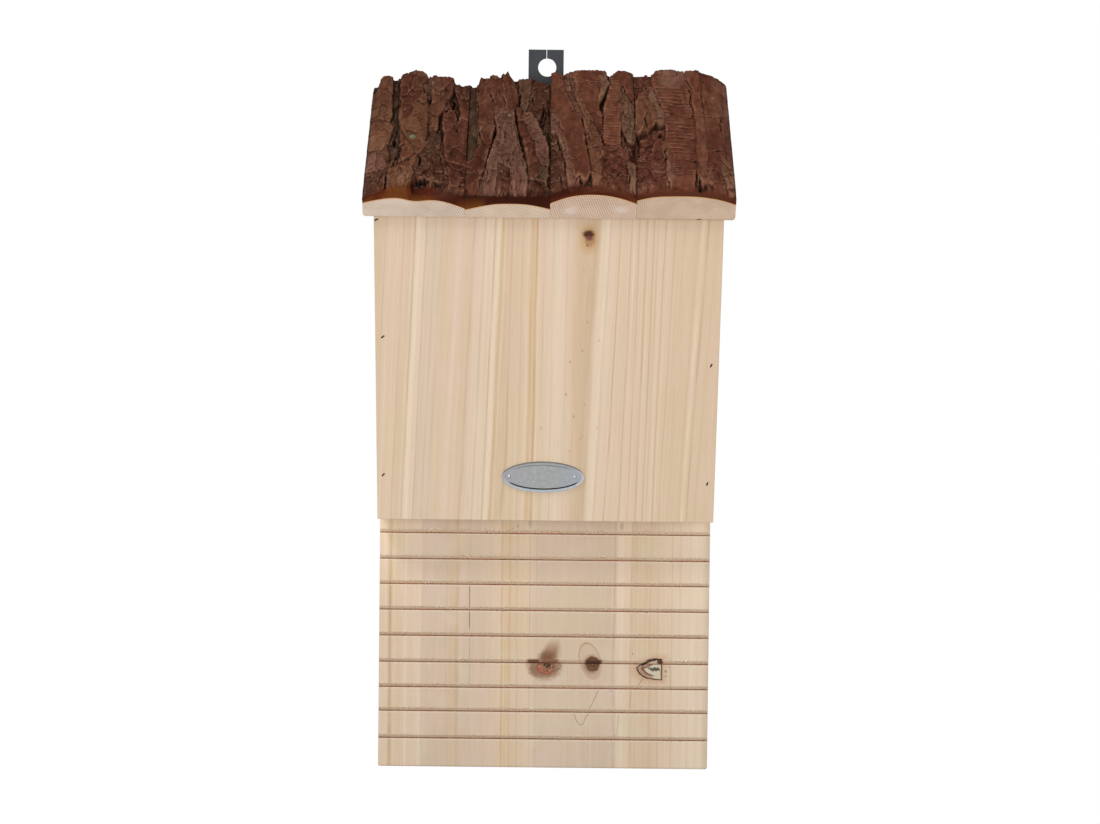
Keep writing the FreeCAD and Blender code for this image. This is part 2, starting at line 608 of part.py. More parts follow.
sk = new_sketch(b, "plate_outline", role="XZ_Plane")
ellipses(sk, [("@plate_a", "@plate_b")])
p = pad(b, "plate_pad", sk, "@plate_t")
sk = new_sketch(b, "rim_outline", role="XZ_Plane")
ellipses(sk, [("@plate_a", "@plate_b"), ("@plate_a - @rim_w", "@plate_b - @rim_w")])
p = pad(b, "rim_pad", sk, "@plate_t + @rim_t")
sk = new_sketch(b, "line_outline", role="XZ_Plane", offset=FreeCAD.Placement(V(0, 0, D["plate_t"] - D["line_deep"]), FreeCAD.Rotation()))
ellipses(sk, [("@plate_a - @line_in", "@plate_b - @line_in"), ("@plate_a - @line_in - @line_w", "@plate_b - @line_in - @line_w")])
sk.setExpression("AttachmentOffset.Base.z", e("@plate_t - @line_deep"))
pocket(b, "line_pocket", sk, "1", rev=True)
keep(cut("nameplate", b, pin_set), "nameplate")

keep(screw_set, "hanger_screws")
keep(brad_set, "front_brads")
keep(pin_set, "nameplate_pins")
keep(roof_nail_set, "roof_nails")
keep(back_nail_set, "back_nails")
doc.recompute()

# ---------------------------------------------------------------- checks, then the files
bad = []
for o in doc.Objects:
    if "Invalid" in o.State or "Error" in o.State:
        bad.append("%s (%s): %s" % (o.Name, o.TypeId, o.State))
for o in SUBPARTS:
    s = o.Shape
    if s.isNull() or not s.isValid() or not s.Solids or s.Volume <= 0:
        bad.append("%s has no sound shape" % o.Label)
if bad:
    raise SystemExit("\n".join(bad))

os.makedirs("parts", exist_ok=True)
for o in SUBPARTS:
    o.Shape.exportStep("parts/%s.step" % o.Label)
    bb = o.Shape.BoundBox
    print("%-18s solids %2d volume %10.1f  x %7.1f %7.1f  y %7.1f %7.1f  z %7.1f %7.1f" % (
        o.Label, len(o.Shape.Solids), o.Shape.Volume, bb.XMin, bb.XMax, bb.YMin, bb.YMax, bb.ZMin, bb.ZMax))
print(len(SUBPARTS), "sub-parts")
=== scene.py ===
"""Looks of the bat box: planed spruce boards, half-round roof slabs with their bark on, a steel hanger and an oval metal plate.
Lengths in this file are millimetres unless a name ends in _m. Blender's own units are metres."""

import math

import bpy
import numpy as np
from mathutils import Matrix, Vector


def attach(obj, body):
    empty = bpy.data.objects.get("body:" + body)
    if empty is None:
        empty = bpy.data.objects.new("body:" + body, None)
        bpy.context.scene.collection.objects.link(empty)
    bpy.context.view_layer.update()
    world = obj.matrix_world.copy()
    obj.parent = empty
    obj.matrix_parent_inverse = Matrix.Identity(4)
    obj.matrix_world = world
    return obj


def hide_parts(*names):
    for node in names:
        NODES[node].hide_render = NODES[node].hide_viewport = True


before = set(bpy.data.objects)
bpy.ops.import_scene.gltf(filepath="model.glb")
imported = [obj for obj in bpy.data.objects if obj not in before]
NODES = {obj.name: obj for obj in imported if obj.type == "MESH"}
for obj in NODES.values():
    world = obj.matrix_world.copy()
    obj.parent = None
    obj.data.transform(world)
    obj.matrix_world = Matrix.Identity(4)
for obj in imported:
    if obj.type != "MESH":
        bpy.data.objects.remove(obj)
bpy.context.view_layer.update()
MM = 0.001

# ---------------------------------------------------------------- colours


def lin(rgb, gain=1.0):
    """A display colour, 0 to 255, as a linear RGBA tuple."""
    out = []
    for c in rgb:
        c = c / 255.0
        out.append((c / 12.92 if c <= 0.04045 else ((c + 0.055) / 1.055) ** 2.4) * gain)
    return (*out, 1.0)


# ---------------------------------------------------------------- numpy noise


def hash2(ix, iy, seed):
    h = (ix.astype(np.int64) * 374761393 + iy.astype(np.int64) * 668265263 + seed * 974634777) & 0xFFFFFFFF
    h = ((h ^ (h >> 13)) * 1274126177) & 0xFFFFFFFF
    h = ((h ^ (h >> 15)) * 1103515245) & 0xFFFFFFFF
    return ((h ^ (h >> 16)) & 0xFFFFFF) / float(0x1000000)


def noise(x, y, seed=0):
    """Gradient noise, about -1 to 1."""
    x, y = np.broadcast_arrays(np.asarray(x, float), np.asarray(y, float))
    ix, iy = np.floor(x), np.floor(y)
    fx, fy = x - ix, y - iy
    ux = fx**3 * (fx * (fx * 6 - 15) + 10)
    uy = fy**3 * (fy * (fy * 6 - 15) + 10)

    def g(dx, dy):
        a = hash2(ix + dx, iy + dy, seed) * 2 * np.pi
        return np.cos(a) * (fx - dx) + np.sin(a) * (fy - dy)

    n0 = g(0, 0) * (1 - ux) + g(1, 0) * ux
    n1 = g(0, 1) * (1 - ux) + g(1, 1) * ux
    return 1.45 * (n0 * (1 - uy) + n1 * uy)


def fbm(x, y, octaves=4, seed=0, gain=0.5):
    total, amp, norm = 0.0, 1.0, 0.0
    for k in range(octaves):
        total = total + amp * noise(x * 2**k + 17.3 * k, y * 2**k - 9.1 * k, seed + 31 * k)
        norm += amp
        amp *= gain
    return total / norm


def cells(x, y, seed=0):
    """Nearest and second nearest distances to one jittered point per unit cell, a random number of the nearest one, and the offset from it."""
    ix, iy = np.floor(x), np.floor(y)
    f1 = np.full(x.shape, 9.0)
    f2 = np.full(x.shape, 9.0)
    ident = np.zeros(x.shape)
    ox = np.zeros(x.shape)
    oy = np.zeros(x.shape)
    for dx in (-1, 0, 1):
        for dy in (-1, 0, 1):
            cx, cy = ix + dx, iy + dy
            px = cx + 0.12 + 0.76 * hash2(cx, cy, seed)
            py = cy + 0.12 + 0.76 * hash2(cx, cy, seed + 7)
            d = np.hypot(x - px, y - py)
            near = d < f1
            f2 = np.where(near, f1, np.minimum(f2, d))
            ident = np.where(near, hash2(cx, cy, seed + 13), ident)
            ox = np.where(near, x - px, ox)
            oy = np.where(near, y - py, oy)
            f1 = np.where(near, d, f1)
    return f1, f2, ident, ox, oy


def smooth(x):
    x = np.clip(x, 0, 1)
    return x * x * (3 - 2 * x)


def blur(a, ru, rv):
    """Three box blurs of an array indexed [v, u], with half-widths in samples."""
    for _ in range(3):
        for axis, r in ((1, ru), (0, rv)):
            pad = [(0, 0), (0, 0)]
            pad[axis] = (r + 1, r)
            c = np.cumsum(np.pad(a, pad, mode="edge"), axis=axis)
            n = a.shape[axis]
            hi = np.take(c, range(2 * r + 1, 2 * r + 1 + n), axis=axis)
            lo = np.take(c, range(0, n), axis=axis)
            a = (hi - lo) / (2 * r + 1)
    return a


def inside(poly, x, y):
    """Distance to a polygon's outline, positive inside it."""
    pts = np.array(poly, float)
    best = np.full(x.shape, 1e9)
    odd = np.zeros(x.shape, bool)
    for (x0, y0), (x1, y1) in zip(pts, np.roll(pts, -1, axis=0)):
        ex, ey = x1 - x0, y1 - y0
        t = np.clip(((x - x0) * ex + (y - y0) * ey) / (ex * ex + ey * ey + 1e-12), 0, 1)
        best = np.minimum(best, np.hypot(x - x0 - t * ex, y - y0 - t * ey))
        if y0 != y1:
            cross = ((y0 > y) != (y1 > y)) & (x < (x1 - x0) * (y - y0) / (y1 - y0) + x0)
            odd ^= cross
    return np.where(odd, best, -best)


def along(line, x, y):
    """Distance to an open line, and how far along it the nearest point is, 0 to 1."""
    pts = np.array(line, float)
    seg = np.hypot(*(pts[1:] - pts[:-1]).T)
    start = np.concatenate([[0], np.cumsum(seg)])
    best = np.full(x.shape, 1e9)
    where = np.zeros(x.shape)
    for i in range(len(pts) - 1):
        (x0, y0), (x1, y1) = pts[i], pts[i + 1]
        ex, ey = x1 - x0, y1 - y0
        t = np.clip(((x - x0) * ex + (y - y0) * ey) / (ex * ex + ey * ey + 1e-12), 0, 1)
        d = np.hypot(x - x0 - t * ex, y - y0 - t * ey)
        near = d < best
        best = np.where(near, d, best)
        where = np.where(near, (start[i] + t * seg[i]) / start[-1], where)
    return best, where


def bspline(points, t):
    """A clamped uniform cubic B-spline of one value, at t from 0 to 1."""
    cp = np.array(points, float)
    n, k = len(cp), 3
    knots = np.concatenate([[0] * 4, np.linspace(0, 1, n - k + 1)[1:-1], [1] * 4])
    t = np.clip(np.asarray(t, float), 0, 1 - 1e-9)
    basis = [((knots[i] <= t) & (t < knots[i + 1])).astype(float) for i in range(n + k)]
    for d in range(1, k + 1):
        new = []
        for i in range(n + k - d):
            a = knots[i + d] - knots[i]
            b = knots[i + d + 1] - knots[i + 1]
            left = (t - knots[i]) / a * basis[i] if a > 0 else 0.0
            right = (knots[i + d + 1] - t) / b * basis[i + 1] if b > 0 else 0.0
            new.append(left + right)
        basis = new
    return sum(c * b for c, b in zip(cp, basis))


# ---------------------------------------------------------------- node graphs


class Graph:
    """A small helper for writing a material's nodes as expressions."""

    def __init__(self, name):
        self.mat = bpy.data.materials.new(name)
        self.mat.use_nodes = True
        self.tree = self.mat.node_tree
        self.tree.nodes.clear()
        self.out = self.new("ShaderNodeOutputMaterial")
        self.bsdf = self.new("ShaderNodeBsdfPrincipled")
        self.link(self.bsdf.outputs[0], self.out.inputs["Surface"])

    def new(self, kind, **props):
        n = self.tree.nodes.new(kind)
        for k, v in props.items():
            setattr(n, k, v)
        return n

    def link(self, a, b):
        self.tree.links.new(a, b)

    def put(self, socket, value):
        if isinstance(value, bpy.types.NodeSocket):
            self.link(value, socket)
        elif value is not None:
            socket.default_value = value

    def math(self, op, a, b=None, c=None, clamp=False):
        n = self.new("ShaderNodeMath", operation=op, use_clamp=clamp)
        for s, v in zip(n.inputs, (a, b, c)):
            self.put(s, v)
        return n.outputs[0]

    def add(self, a, b):
        return self.math("ADD", a, b)

    def sub(self, a, b):
        return self.math("SUBTRACT", a, b)

    def mul(self, a, b):
        return self.math("MULTIPLY", a, b)

    def madd(self, a, b, c):
        return self.math("MULTIPLY_ADD", a, b, c)

    def sat(self, a):
        return self.math("ADD", a, 0.0, clamp=True)

    def step(self, x, lo, hi, a=0.0, b=1.0):
        """Goes smoothly from a at lo to b at hi."""
        n = self.new("ShaderNodeMapRange", interpolation_type="SMOOTHSTEP")
        for s, v in zip(n.inputs[:5], (x, lo, hi, a, b)):
            self.put(s, v)
        return n.outputs[0]

    def vec(self, x, y, z=0.0):
        n = self.new("ShaderNodeCombineXYZ")
        for s, v in zip(n.inputs, (x, y, z)):
            self.put(s, v)
        return n.outputs[0]

    def noise(self, vector, scale=1.0, detail=2.0, rough=0.5):
        n = self.new("ShaderNodeTexNoise")
        self.put(n.inputs["Vector"], vector)
        self.put(n.inputs["Scale"], scale)
        self.put(n.inputs["Detail"], detail)
        self.put(n.inputs["Roughness"], rough)
        return n.outputs[0]

    def cellular(self, vector, scale=1.0, feature="F1", out="Distance"):
        n = self.new("ShaderNodeTexVoronoi", feature=feature)
        self.put(n.inputs["Vector"], vector)
        self.put(n.inputs["Scale"], scale)
        return n.outputs[out]

    def mix(self, fac, a, b, mode="MIX"):
        n = self.new("ShaderNodeMix", data_type="RGBA", blend_type=mode)
        self.put(n.inputs[0], fac)
        self.put(n.inputs[6], a)
        self.put(n.inputs[7], b)
        return n.outputs[2]

    def ramp(self, x, stops, interp="LINEAR"):
        """stops: (position 0 to 1, linear colour)."""
        n = self.new("ShaderNodeValToRGB")
        n.color_ramp.interpolation = interp
        el = n.color_ramp.elements
        while len(el) > 1:
            el.remove(el[-1])
        el[0].position, el[0].color = stops[0]
        for p, c in stops[1:]:
            e = el.new(p)
            e.color = c
        self.put(n.inputs[0], x)
        return n.outputs[0]

    def curve(self, x, lo, hi, points):
        """A function of x through given points (x, value), clamped outside them."""
        n = self.new("ShaderNodeFloatCurve")
        t = self.step_linear(x, lo, hi)
        c = n.mapping.curves[0]
        n.mapping.extend = "HORIZONTAL"
        vals = [v for _, v in points]
        vmin, vmax = min(vals), max(vals)
        span = (vmax - vmin) or 1.0
        pts = [((p - lo) / (hi - lo), (v - vmin) / span) for p, v in points]
        c.points[0].location = pts[0]
        c.points[1].location = pts[-1]
        for p in pts[1:-1]:
            c.points.new(*p)
        for p in c.points:
            p.handle_type = "AUTO_CLAMPED"
        n.mapping.update()
        self.put(n.inputs["Value"], t)
        return self.madd(n.outputs[0], span, vmin)

    def step_linear(self, x, lo, hi):
        n = self.new("ShaderNodeMapRange", interpolation_type="LINEAR", clamp=True)
        for s, v in zip(n.inputs[:5], (x, lo, hi, 0.0, 1.0)):
            self.put(s, v)
        return n.outputs[0]

    def local(self, origin, axes):
        """Millimetre coordinates along three axes, from the row frame."""
        tc = self.new("ShaderNodeTexCoord")
        sub = self.new("ShaderNodeVectorMath", operation="SUBTRACT")
        self.link(tc.outputs["Object"], sub.inputs[0])
        sub.inputs[1].default_value = [c * MM for c in origin]
        out = []
        for axis in axes:
            dot = self.new("ShaderNodeVectorMath", operation="DOT_PRODUCT")
            self.link(sub.outputs[0], dot.inputs[0])
            dot.inputs[1].default_value = [c / MM for c in axis]
            out.append(dot.outputs["Value"])
        return out

    def facing(self, axis):
        """Cosine between the surface's own normal and an axis."""
        tc = self.new("ShaderNodeTexCoord")
        dot = self.new("ShaderNodeVectorMath", operation="DOT_PRODUCT")
        self.link(tc.outputs["Normal"], dot.inputs[0])
        dot.inputs[1].default_value = axis
        return dot.outputs["Value"]

    def bump(self, height, distance, strength=1.0):
        n = self.new("ShaderNodeBump")
        n.inputs["Strength"].default_value = strength
        n.inputs["Distance"].default_value = distance * MM
        self.put(n.inputs["Height"], height)
        self.link(n.outputs[0], self.bsdf.inputs["Normal"])

    def lines(self, x, marks):
        """A mask of thin lines across x. Each mark is (place, half width, strength)."""
        marks = sorted(marks)
        groups, group = [], []
        for mark in marks:
            if group and (mark[0] - group[0][0] > 40 or len(group) >= 9):
                groups.append(group)
                group = []
            group.append(mark)
        groups.append(group)
        total = None
        for group in groups:
            lo, hi = group[0][0] - 3.0, group[-1][0] + 3.0
            stops, last = [(0.0, (0, 0, 0, 1))], 0.0
            for p, w, s in group:
                for q, v in ((p - w, 0.0), (p, s), (p + w, 0.0)):
                    pos = max((q - lo) / (hi - lo), last + 1e-4)
                    stops.append((pos, (v, v, v, 1)))
                    last = pos
            r = self.ramp(self.step_linear(x, lo, hi), stops)
            total = r if total is None else self.add(total, r)
        return total


def use(material, *names):
    for n in names:
        o = NODES[n]
        o.data.materials.clear()
        o.data.materials.append(material)


# ---------------------------------------------------------------- wood

GAIN = 1.05  # measured against the scene's light

TONES = {
    "cream": (228, 208, 180),
    "pale": (224, 203, 176),
    "rose": (222, 197, 174),
    "beige": (219, 194, 165),
    "moss": (214, 194, 169),
    "sand": (214, 189, 158),
    "tan": (209, 182, 149),
    "honey": (213, 184, 144),
    "brown": (201, 173, 142),
    "grey": (209, 186, 163),
    "ash": (205, 182, 159),
}


def tone(name):
    return lin(TONES[name], GAIN)


def timber(name, origin, axes, bands, dark=(), amber=(), light=(), lean=None, lean_from=190.0, seed=1.0, extra=None, rough=0.62, painted_light_along=None):
    """Planed spruce. axes are across the grain, along it and out of the face. bands are (place across, tone)."""
    g = Graph(name)
    a, b, c = g.local(origin, axes)
    wander = g.noise(g.vec(g.mul(a, 0.03), g.mul(b, 0.012), seed), 1.0, 2.0)
    shifted = g.madd(g.sub(wander, 0.5), 1.6, a)
    if lean:
        slope = g.curve(a, -105.0, 105.0, lean)
        u = g.madd(slope, g.sub(lean_from, b), shifted)
    else:
        u = shifted
    # tones, slightly frayed along their borders
    fray = g.noise(g.vec(g.mul(a, 0.9), g.mul(b, 0.02), seed + 3), 1.0, 3.0)
    ub = g.madd(g.sub(fray, 0.5), 1.4, u)
    lo, hi = bands[0][0], bands[-1][0]
    stops = [((p - lo) / (hi - lo), tone(t)) for p, t in bands]
    colour = g.ramp(g.step_linear(ub, lo, hi), stops)
    # growth rings that the band list leaves out, as soft streaks
    streak = g.noise(g.vec(g.mul(u, 0.55), g.mul(b, 0.006), seed + 5), 1.0, 4.0, 0.6)
    colour = g.mix(g.step(streak, 0.35, 0.72, 0.0, 0.38), colour, lin((205, 176, 143), GAIN))
    streak2 = g.noise(g.vec(g.mul(u, 1.1), g.mul(b, 0.010), seed + 8), 1.0, 3.0, 0.55)
    colour = g.mix(g.step(streak2, 0.52, 0.80, 0.0, 0.42), colour, lin((230, 211, 184), GAIN))
    tint = g.noise(g.vec(g.mul(u, 0.16), g.mul(b, 0.014), seed + 11), 1.0, 2.0)
    colour = g.mix(g.step(tint, 0.48, 0.66, 0.0, 0.35), colour, lin((222, 193, 173), GAIN))
    colour = g.mix(g.step(tint, 0.50, 0.34, 0.0, 0.16), colour, lin((212, 195, 168), GAIN))
    fade = g.noise(g.vec(g.mul(u, 0.35), g.mul(b, 0.022), seed + 13), 1.0, 2.0)
    fade = g.step(fade, 0.30, 0.62, 0.35, 1.0)
    if dark:
        colour = g.mix(g.mul(g.lines(u, dark), fade), colour, lin((172, 142, 112), GAIN))
    if amber:
        colour = g.mix(g.mul(g.lines(u, amber), fade), colour, lin((196, 148, 96), GAIN))
    if light:
        colour = g.mix(g.mul(g.lines(u, light), fade), colour, lin((236, 216, 190), GAIN))
    # fibres and pores
    fibre = g.noise(g.vec(g.mul(u, 4.5), g.mul(b, 0.11), seed + 17), 1.0, 3.0, 0.6)
    colour = g.mix(g.step(fibre, 0.42, 0.75, 0.0, 0.22), colour, lin((190, 160, 128), GAIN))
    pore = g.noise(g.vec(g.mul(a, 2.6), g.mul(b, 0.30), seed + 23), 1.0, 1.0)
    colour = g.mix(g.step(pore, 0.74, 0.82, 0.0, 0.25), colour, lin((170, 138, 106), GAIN))
    height = g.madd(fibre, 0.6, g.mul(streak, 0.8))
    if extra:
        colour, height = extra(g, a, b, c, u, colour, height)
    if painted_light_along:
        # painted light and shade along the board: its colour scaled up or down by place, as (place, colour factor)
        lo, hi = painted_light_along[0][0], painted_light_along[-1][0]
        colour = g.mix(1.0, colour, g.ramp(g.step_linear(b, lo, hi), [((p - lo) / (hi - lo), (*f, 1.0)) for p, f in painted_light_along]), "MULTIPLY")
    g.link(colour, g.bsdf.inputs["Base Color"])
    g.link(g.step(fibre, 0.2, 0.8, rough - 0.05, rough + 0.08), g.bsdf.inputs["Roughness"])
    g.bsdf.inputs["Specular IOR Level"].default_value = 0.18
    g.bump(height, 0.10, 0.35)
    return g.mat


def knot(g, a, b, at, size, colour, halo, core, seed=0.0, swirl=0.25):
    """A dark branch end: a halo that fades out and a darker core, both ragged."""
    x = g.math("DIVIDE", g.sub(a, at[0]), size[0])
    y = g.math("DIVIDE", g.sub(b, at[1]), size[1])
    n = g.noise(g.vec(x, y, seed), 2.2, 3.0, 0.6)
    d = g.math("SQRT", g.add(g.mul(x, x), g.mul(y, y)))
    d = g.madd(g.sub(n, 0.5), swirl, d)
    rings = g.math("SINE", g.mul(d, 26.0))
    colour = g.mix(g.step(d, 1.0, 0.35, 0.0, halo[1]), colour, lin(halo[0], GAIN))
    colour = g.mix(g.mul(g.step(d, core[2], core[2] * 0.55, 0.0, core[1]), g.madd(rings, 0.12, 0.88)), colour, lin(core[0], GAIN))
    return colour, d


def dots(g, a, b, marks, colour, shade=(168, 134, 100)):
    """Small specks: (across, along, radius, strength)."""
    for x, y, r, s in marks:
        dx = g.sub(a, x)
        dy = g.mul(g.sub(b, y), 0.7)
        d = g.math("SQRT", g.add(g.mul(dx, dx), g.mul(dy, dy)))
        colour = g.mix(g.step(d, r, r * 0.2, 0.0, s), colour, lin(shade, GAIN))
    return colour


TILT = math.radians(18.86)
PANEL_O = (1.9, -40.0, -279.1)
PANEL_AX = ((1, 0, 0), (0, -math.sin(TILT), math.cos(TILT)), (0, -math.cos(TILT), -math.sin(TILT)))

PANEL_BANDS = [
    (-103, "tan"), (-97.5, "sand"), (-94.5, "beige"), (-86, "beige"), (-79.5, "sand"), (-77.2, "cream"), (-73, "pale"),
    (-70, "moss"), (-63, "moss"), (-58, "sand"), (-52, "rose"), (-45, "sand"), (-40, "rose"), (-36, "pale"), (-32.5, "pale"),
    (-28.5, "cream"), (-26, "tan"), (-20, "sand"), (-12, "beige"), (-8, "honey"), (-4, "beige"), (6, "pale"), (12, "rose"),
    (15.5, "sand"), (17.0, "tan"), (29.0, "brown"), (32.0, "pale"), (46, "beige"), (66, "beige"), (80, "sand"), (90, "sand"), (103, "sand"),
]
PANEL_LEAN = [
    (-105, 0.050), (-78, 0.052), (-70, 0.055), (-44, 0.045), (-30, 0.040), (-24, 0.026), (-8, 0.012), (12, 0.006), (17, 0.008), (28, 0.040),
    (40, 0.029), (48, 0.020), (60, 0.015), (68, 0.028), (80, 0.036), (93, 0.044), (105, 0.040),
]
PANEL_DARK = [
    (-95.2, 0.7, 0.35), (-84.6, 0.8, 0.25), (-78.0, 0.9, 0.5), (-71.3, 0.9, 0.42), (-66.0, 0.8, 0.3), (-62.0, 0.7, 0.2), (-43.4, 1.3, 0.35),
    (-37.0, 1.0, 0.35), (-31.0, 0.8, 0.6), (-20.9, 0.7, 0.45), (-14.5, 0.7, 0.25), (-6.6, 0.7, 0.65), (-2.0, 0.6, 0.3), (3.2, 0.7, 0.25), (11.5, 0.8, 0.3),
    (36.5, 0.6, 0.3), (42.2, 0.6, 0.5), (48.5, 0.6, 0.55), (53.1, 0.6, 0.5), (57.4, 0.7, 0.5), (61.8, 0.7, 0.5), (64.3, 0.6, 0.35), (68.7, 0.7, 0.55),
    (74.6, 0.8, 0.35), (80.0, 0.7, 0.2), (93.6, 1.0, 0.5), (99.0, 0.7, 0.2),
]
PANEL_AMBER = [(-26.6, 0.8, 0.55), (-9.2, 0.9, 0.40), (-6.1, 0.5, 0.3), (57.9, 0.5, 0.35), (88.0, 1.5, 0.18), (42.0, 0.5, 0.25)]
PANEL_LIGHT = [
    (-92.0, 0.9, 0.3), (-88.2, 0.9, 0.3), (-79.7, 0.7, 0.45), (-75.6, 1.0, 0.5), (-28.8, 0.9, 0.35), (-24.8, 0.8, 0.4), (-11.3, 1.0, 0.3), (-5.0, 0.8, 0.4),
    (7.5, 1.0, 0.35), (35.0, 1.4, 0.5), (50.5, 0.7, 0.35), (59.2, 0.7, 0.3), (66.4, 0.8, 0.35), (71.0, 0.9, 0.3), (90.6, 1.8, 0.55),
]


def panel_extra(g, a, b, c, u, colour, height):
    # the tan strip that runs down from the knot
    colour, d = knot(g, a, b, (24.0, 181.0), (7.6, 13.0), colour, ((190, 150, 100), 0.75), ((150, 98, 58), 0.55, 0.52), 2.0, 0.35)
    colour, d = knot(g, a, b, (23.4, 183.2), (5.0, 3.6), colour, ((118, 70, 46), 0.85), ((66, 30, 20), 0.95, 0.72), 5.0, 0.5)
    colour, d = knot(g, a, b, (23.9, 180.6), (3.2, 2.4), colour, ((126, 78, 64), 0.7), ((104, 60, 56), 0.6, 0.6), 7.0, 0.6)
    colour = dots(g, a, b, [(22.7, 176.3, 0.7, 0.95)], colour, (92, 60, 40))
    colour = dots(
        g, a, b,
        [(23.6, 128.8, 1.1, 0.5), (20.9, 110.5, 0.8, 0.8), (13.6, 103.5, 1.0, 0.7), (11.5, 82.7, 1.0, 0.7), (22.8, 76.4, 0.9, 0.5), (16.3, 68.5, 1.1, 0.6),
         (30.6, 117.3, 1.0, 0.35), (30.4, 61.6, 0.9, 0.4), (20.6, 54.1, 1.0, 0.45), (21.5, 56.1, 0.9, 0.4), (14.2, 46.2, 0.8, 0.5), (-3.3, 61.0, 1.2, 0.35), (21.0, 160.6, 0.9, 0.35)],
        colour,
    )
    return colour, height


# painted shade: the front panel a little darker towards its top, under the roof
panel_wood = timber("front_spruce", PANEL_O, PANEL_AX, PANEL_BANDS, PANEL_DARK, PANEL_AMBER, PANEL_LIGHT, PANEL_LEAN, 190.0, 1.0, panel_extra, 0.62, [(0.0, (0.99, 1.01, 1.03)), (170.0, (0.99, 0.99, 1.02)), (200.0, (0.95, 0.95, 0.97))])
use(panel_wood, "front_panel")

BOARD_O = (1.9, -12.0, 0.0)
BOARD_AX = ((1, 0, 0), (0, 0, 1), (0, -1, 0))
BOARD_BANDS = [
    (-103, "beige"), (-98.6, "rose"), (-96.9, "honey"), (-94.2, "sand"), (-88, "beige"), (-85.5, "rose"), (-84, "beige"), (-76.8, "pale"), (-75.6, "grey"), (-61, "ash"),
    (-56, "tan"), (-51, "grey"), (-40, "grey"), (-28, "beige"), (-25.2, "honey"), (-17.5, "sand"), (-10, "beige"), (-4.5, "grey"), (10, "grey"), (22, "ash"),
    (40, "ash"), (44.5, "ash"), (46.5, "pale"), (53.5, "beige"), (54.6, "tan"), (58, "sand"), (66, "tan"), (73, "beige"), (86, "pale"), (98, "cream"), (101, "grey"), (103, "ash"),
]
BOARD_DARK = [
    (-95.6, 1.1, 0.85), (-76.0, 0.5, 0.25), (-60.5, 0.6, 0.2), (-54.2, 1.6, 0.4), (-46.4, 0.3, 0.25), (-26.4, 0.5, 0.6), (-21.4, 0.5, 0.35), (-16.6, 0.5, 0.4),
    (-8.9, 0.5, 0.5), (-4.9, 0.5, 0.42), (15.0, 0.5, 0.25), (43.6, 1.1, 0.4), (54.0, 0.6, 0.45), (57.4, 0.5, 0.25), (65.7, 0.5, 0.35), (71.0, 0.6, 0.3), (79.3, 0.5, 0.3), (84.0, 0.6, 0.15),
]
BOARD_AMBER = [(-96.0, 0.8, 0.3), (-21.6, 0.7, 0.35), (-25.6, 0.5, 0.2)]
BOARD_LIGHT = [(-98.2, 0.9, 0.3), (-93.2, 0.9, 0.3), (-86.0, 0.8, 0.5), (-25.2, 0.7, 0.2), (45.6, 0.7, 0.4), (48.5, 1.5, 0.3), (92.0, 3.0, 0.3)]
GROOVES = [-289.3, -305.5, -321.2, -337.2, -353.4, -369.8, -385.5, -400.4, -417.4]


def polyline_mask(g, a, b, pts, width):
    """A thin line through given points."""
    best = None
    for (x0, y0), (x1, y1) in zip(pts, pts[1:]):
        ex, ey = x1 - x0, y1 - y0
        l2 = ex * ex + ey * ey
        dx, dy = g.sub(a, x0), g.sub(b, y0)
        t = g.math("ADD", g.mul(dx, ex / l2), g.mul(dy, ey / l2), clamp=True)
        px, py = g.sub(dx, g.mul(t, ex)), g.sub(dy, g.mul(t, ey))
        d = g.math("SQRT", g.add(g.mul(px, px), g.mul(py, py)))
        best = d if best is None else g.math("MINIMUM", best, d)
    return g.step(best, width, width * 0.2, 0.0, 1.0)


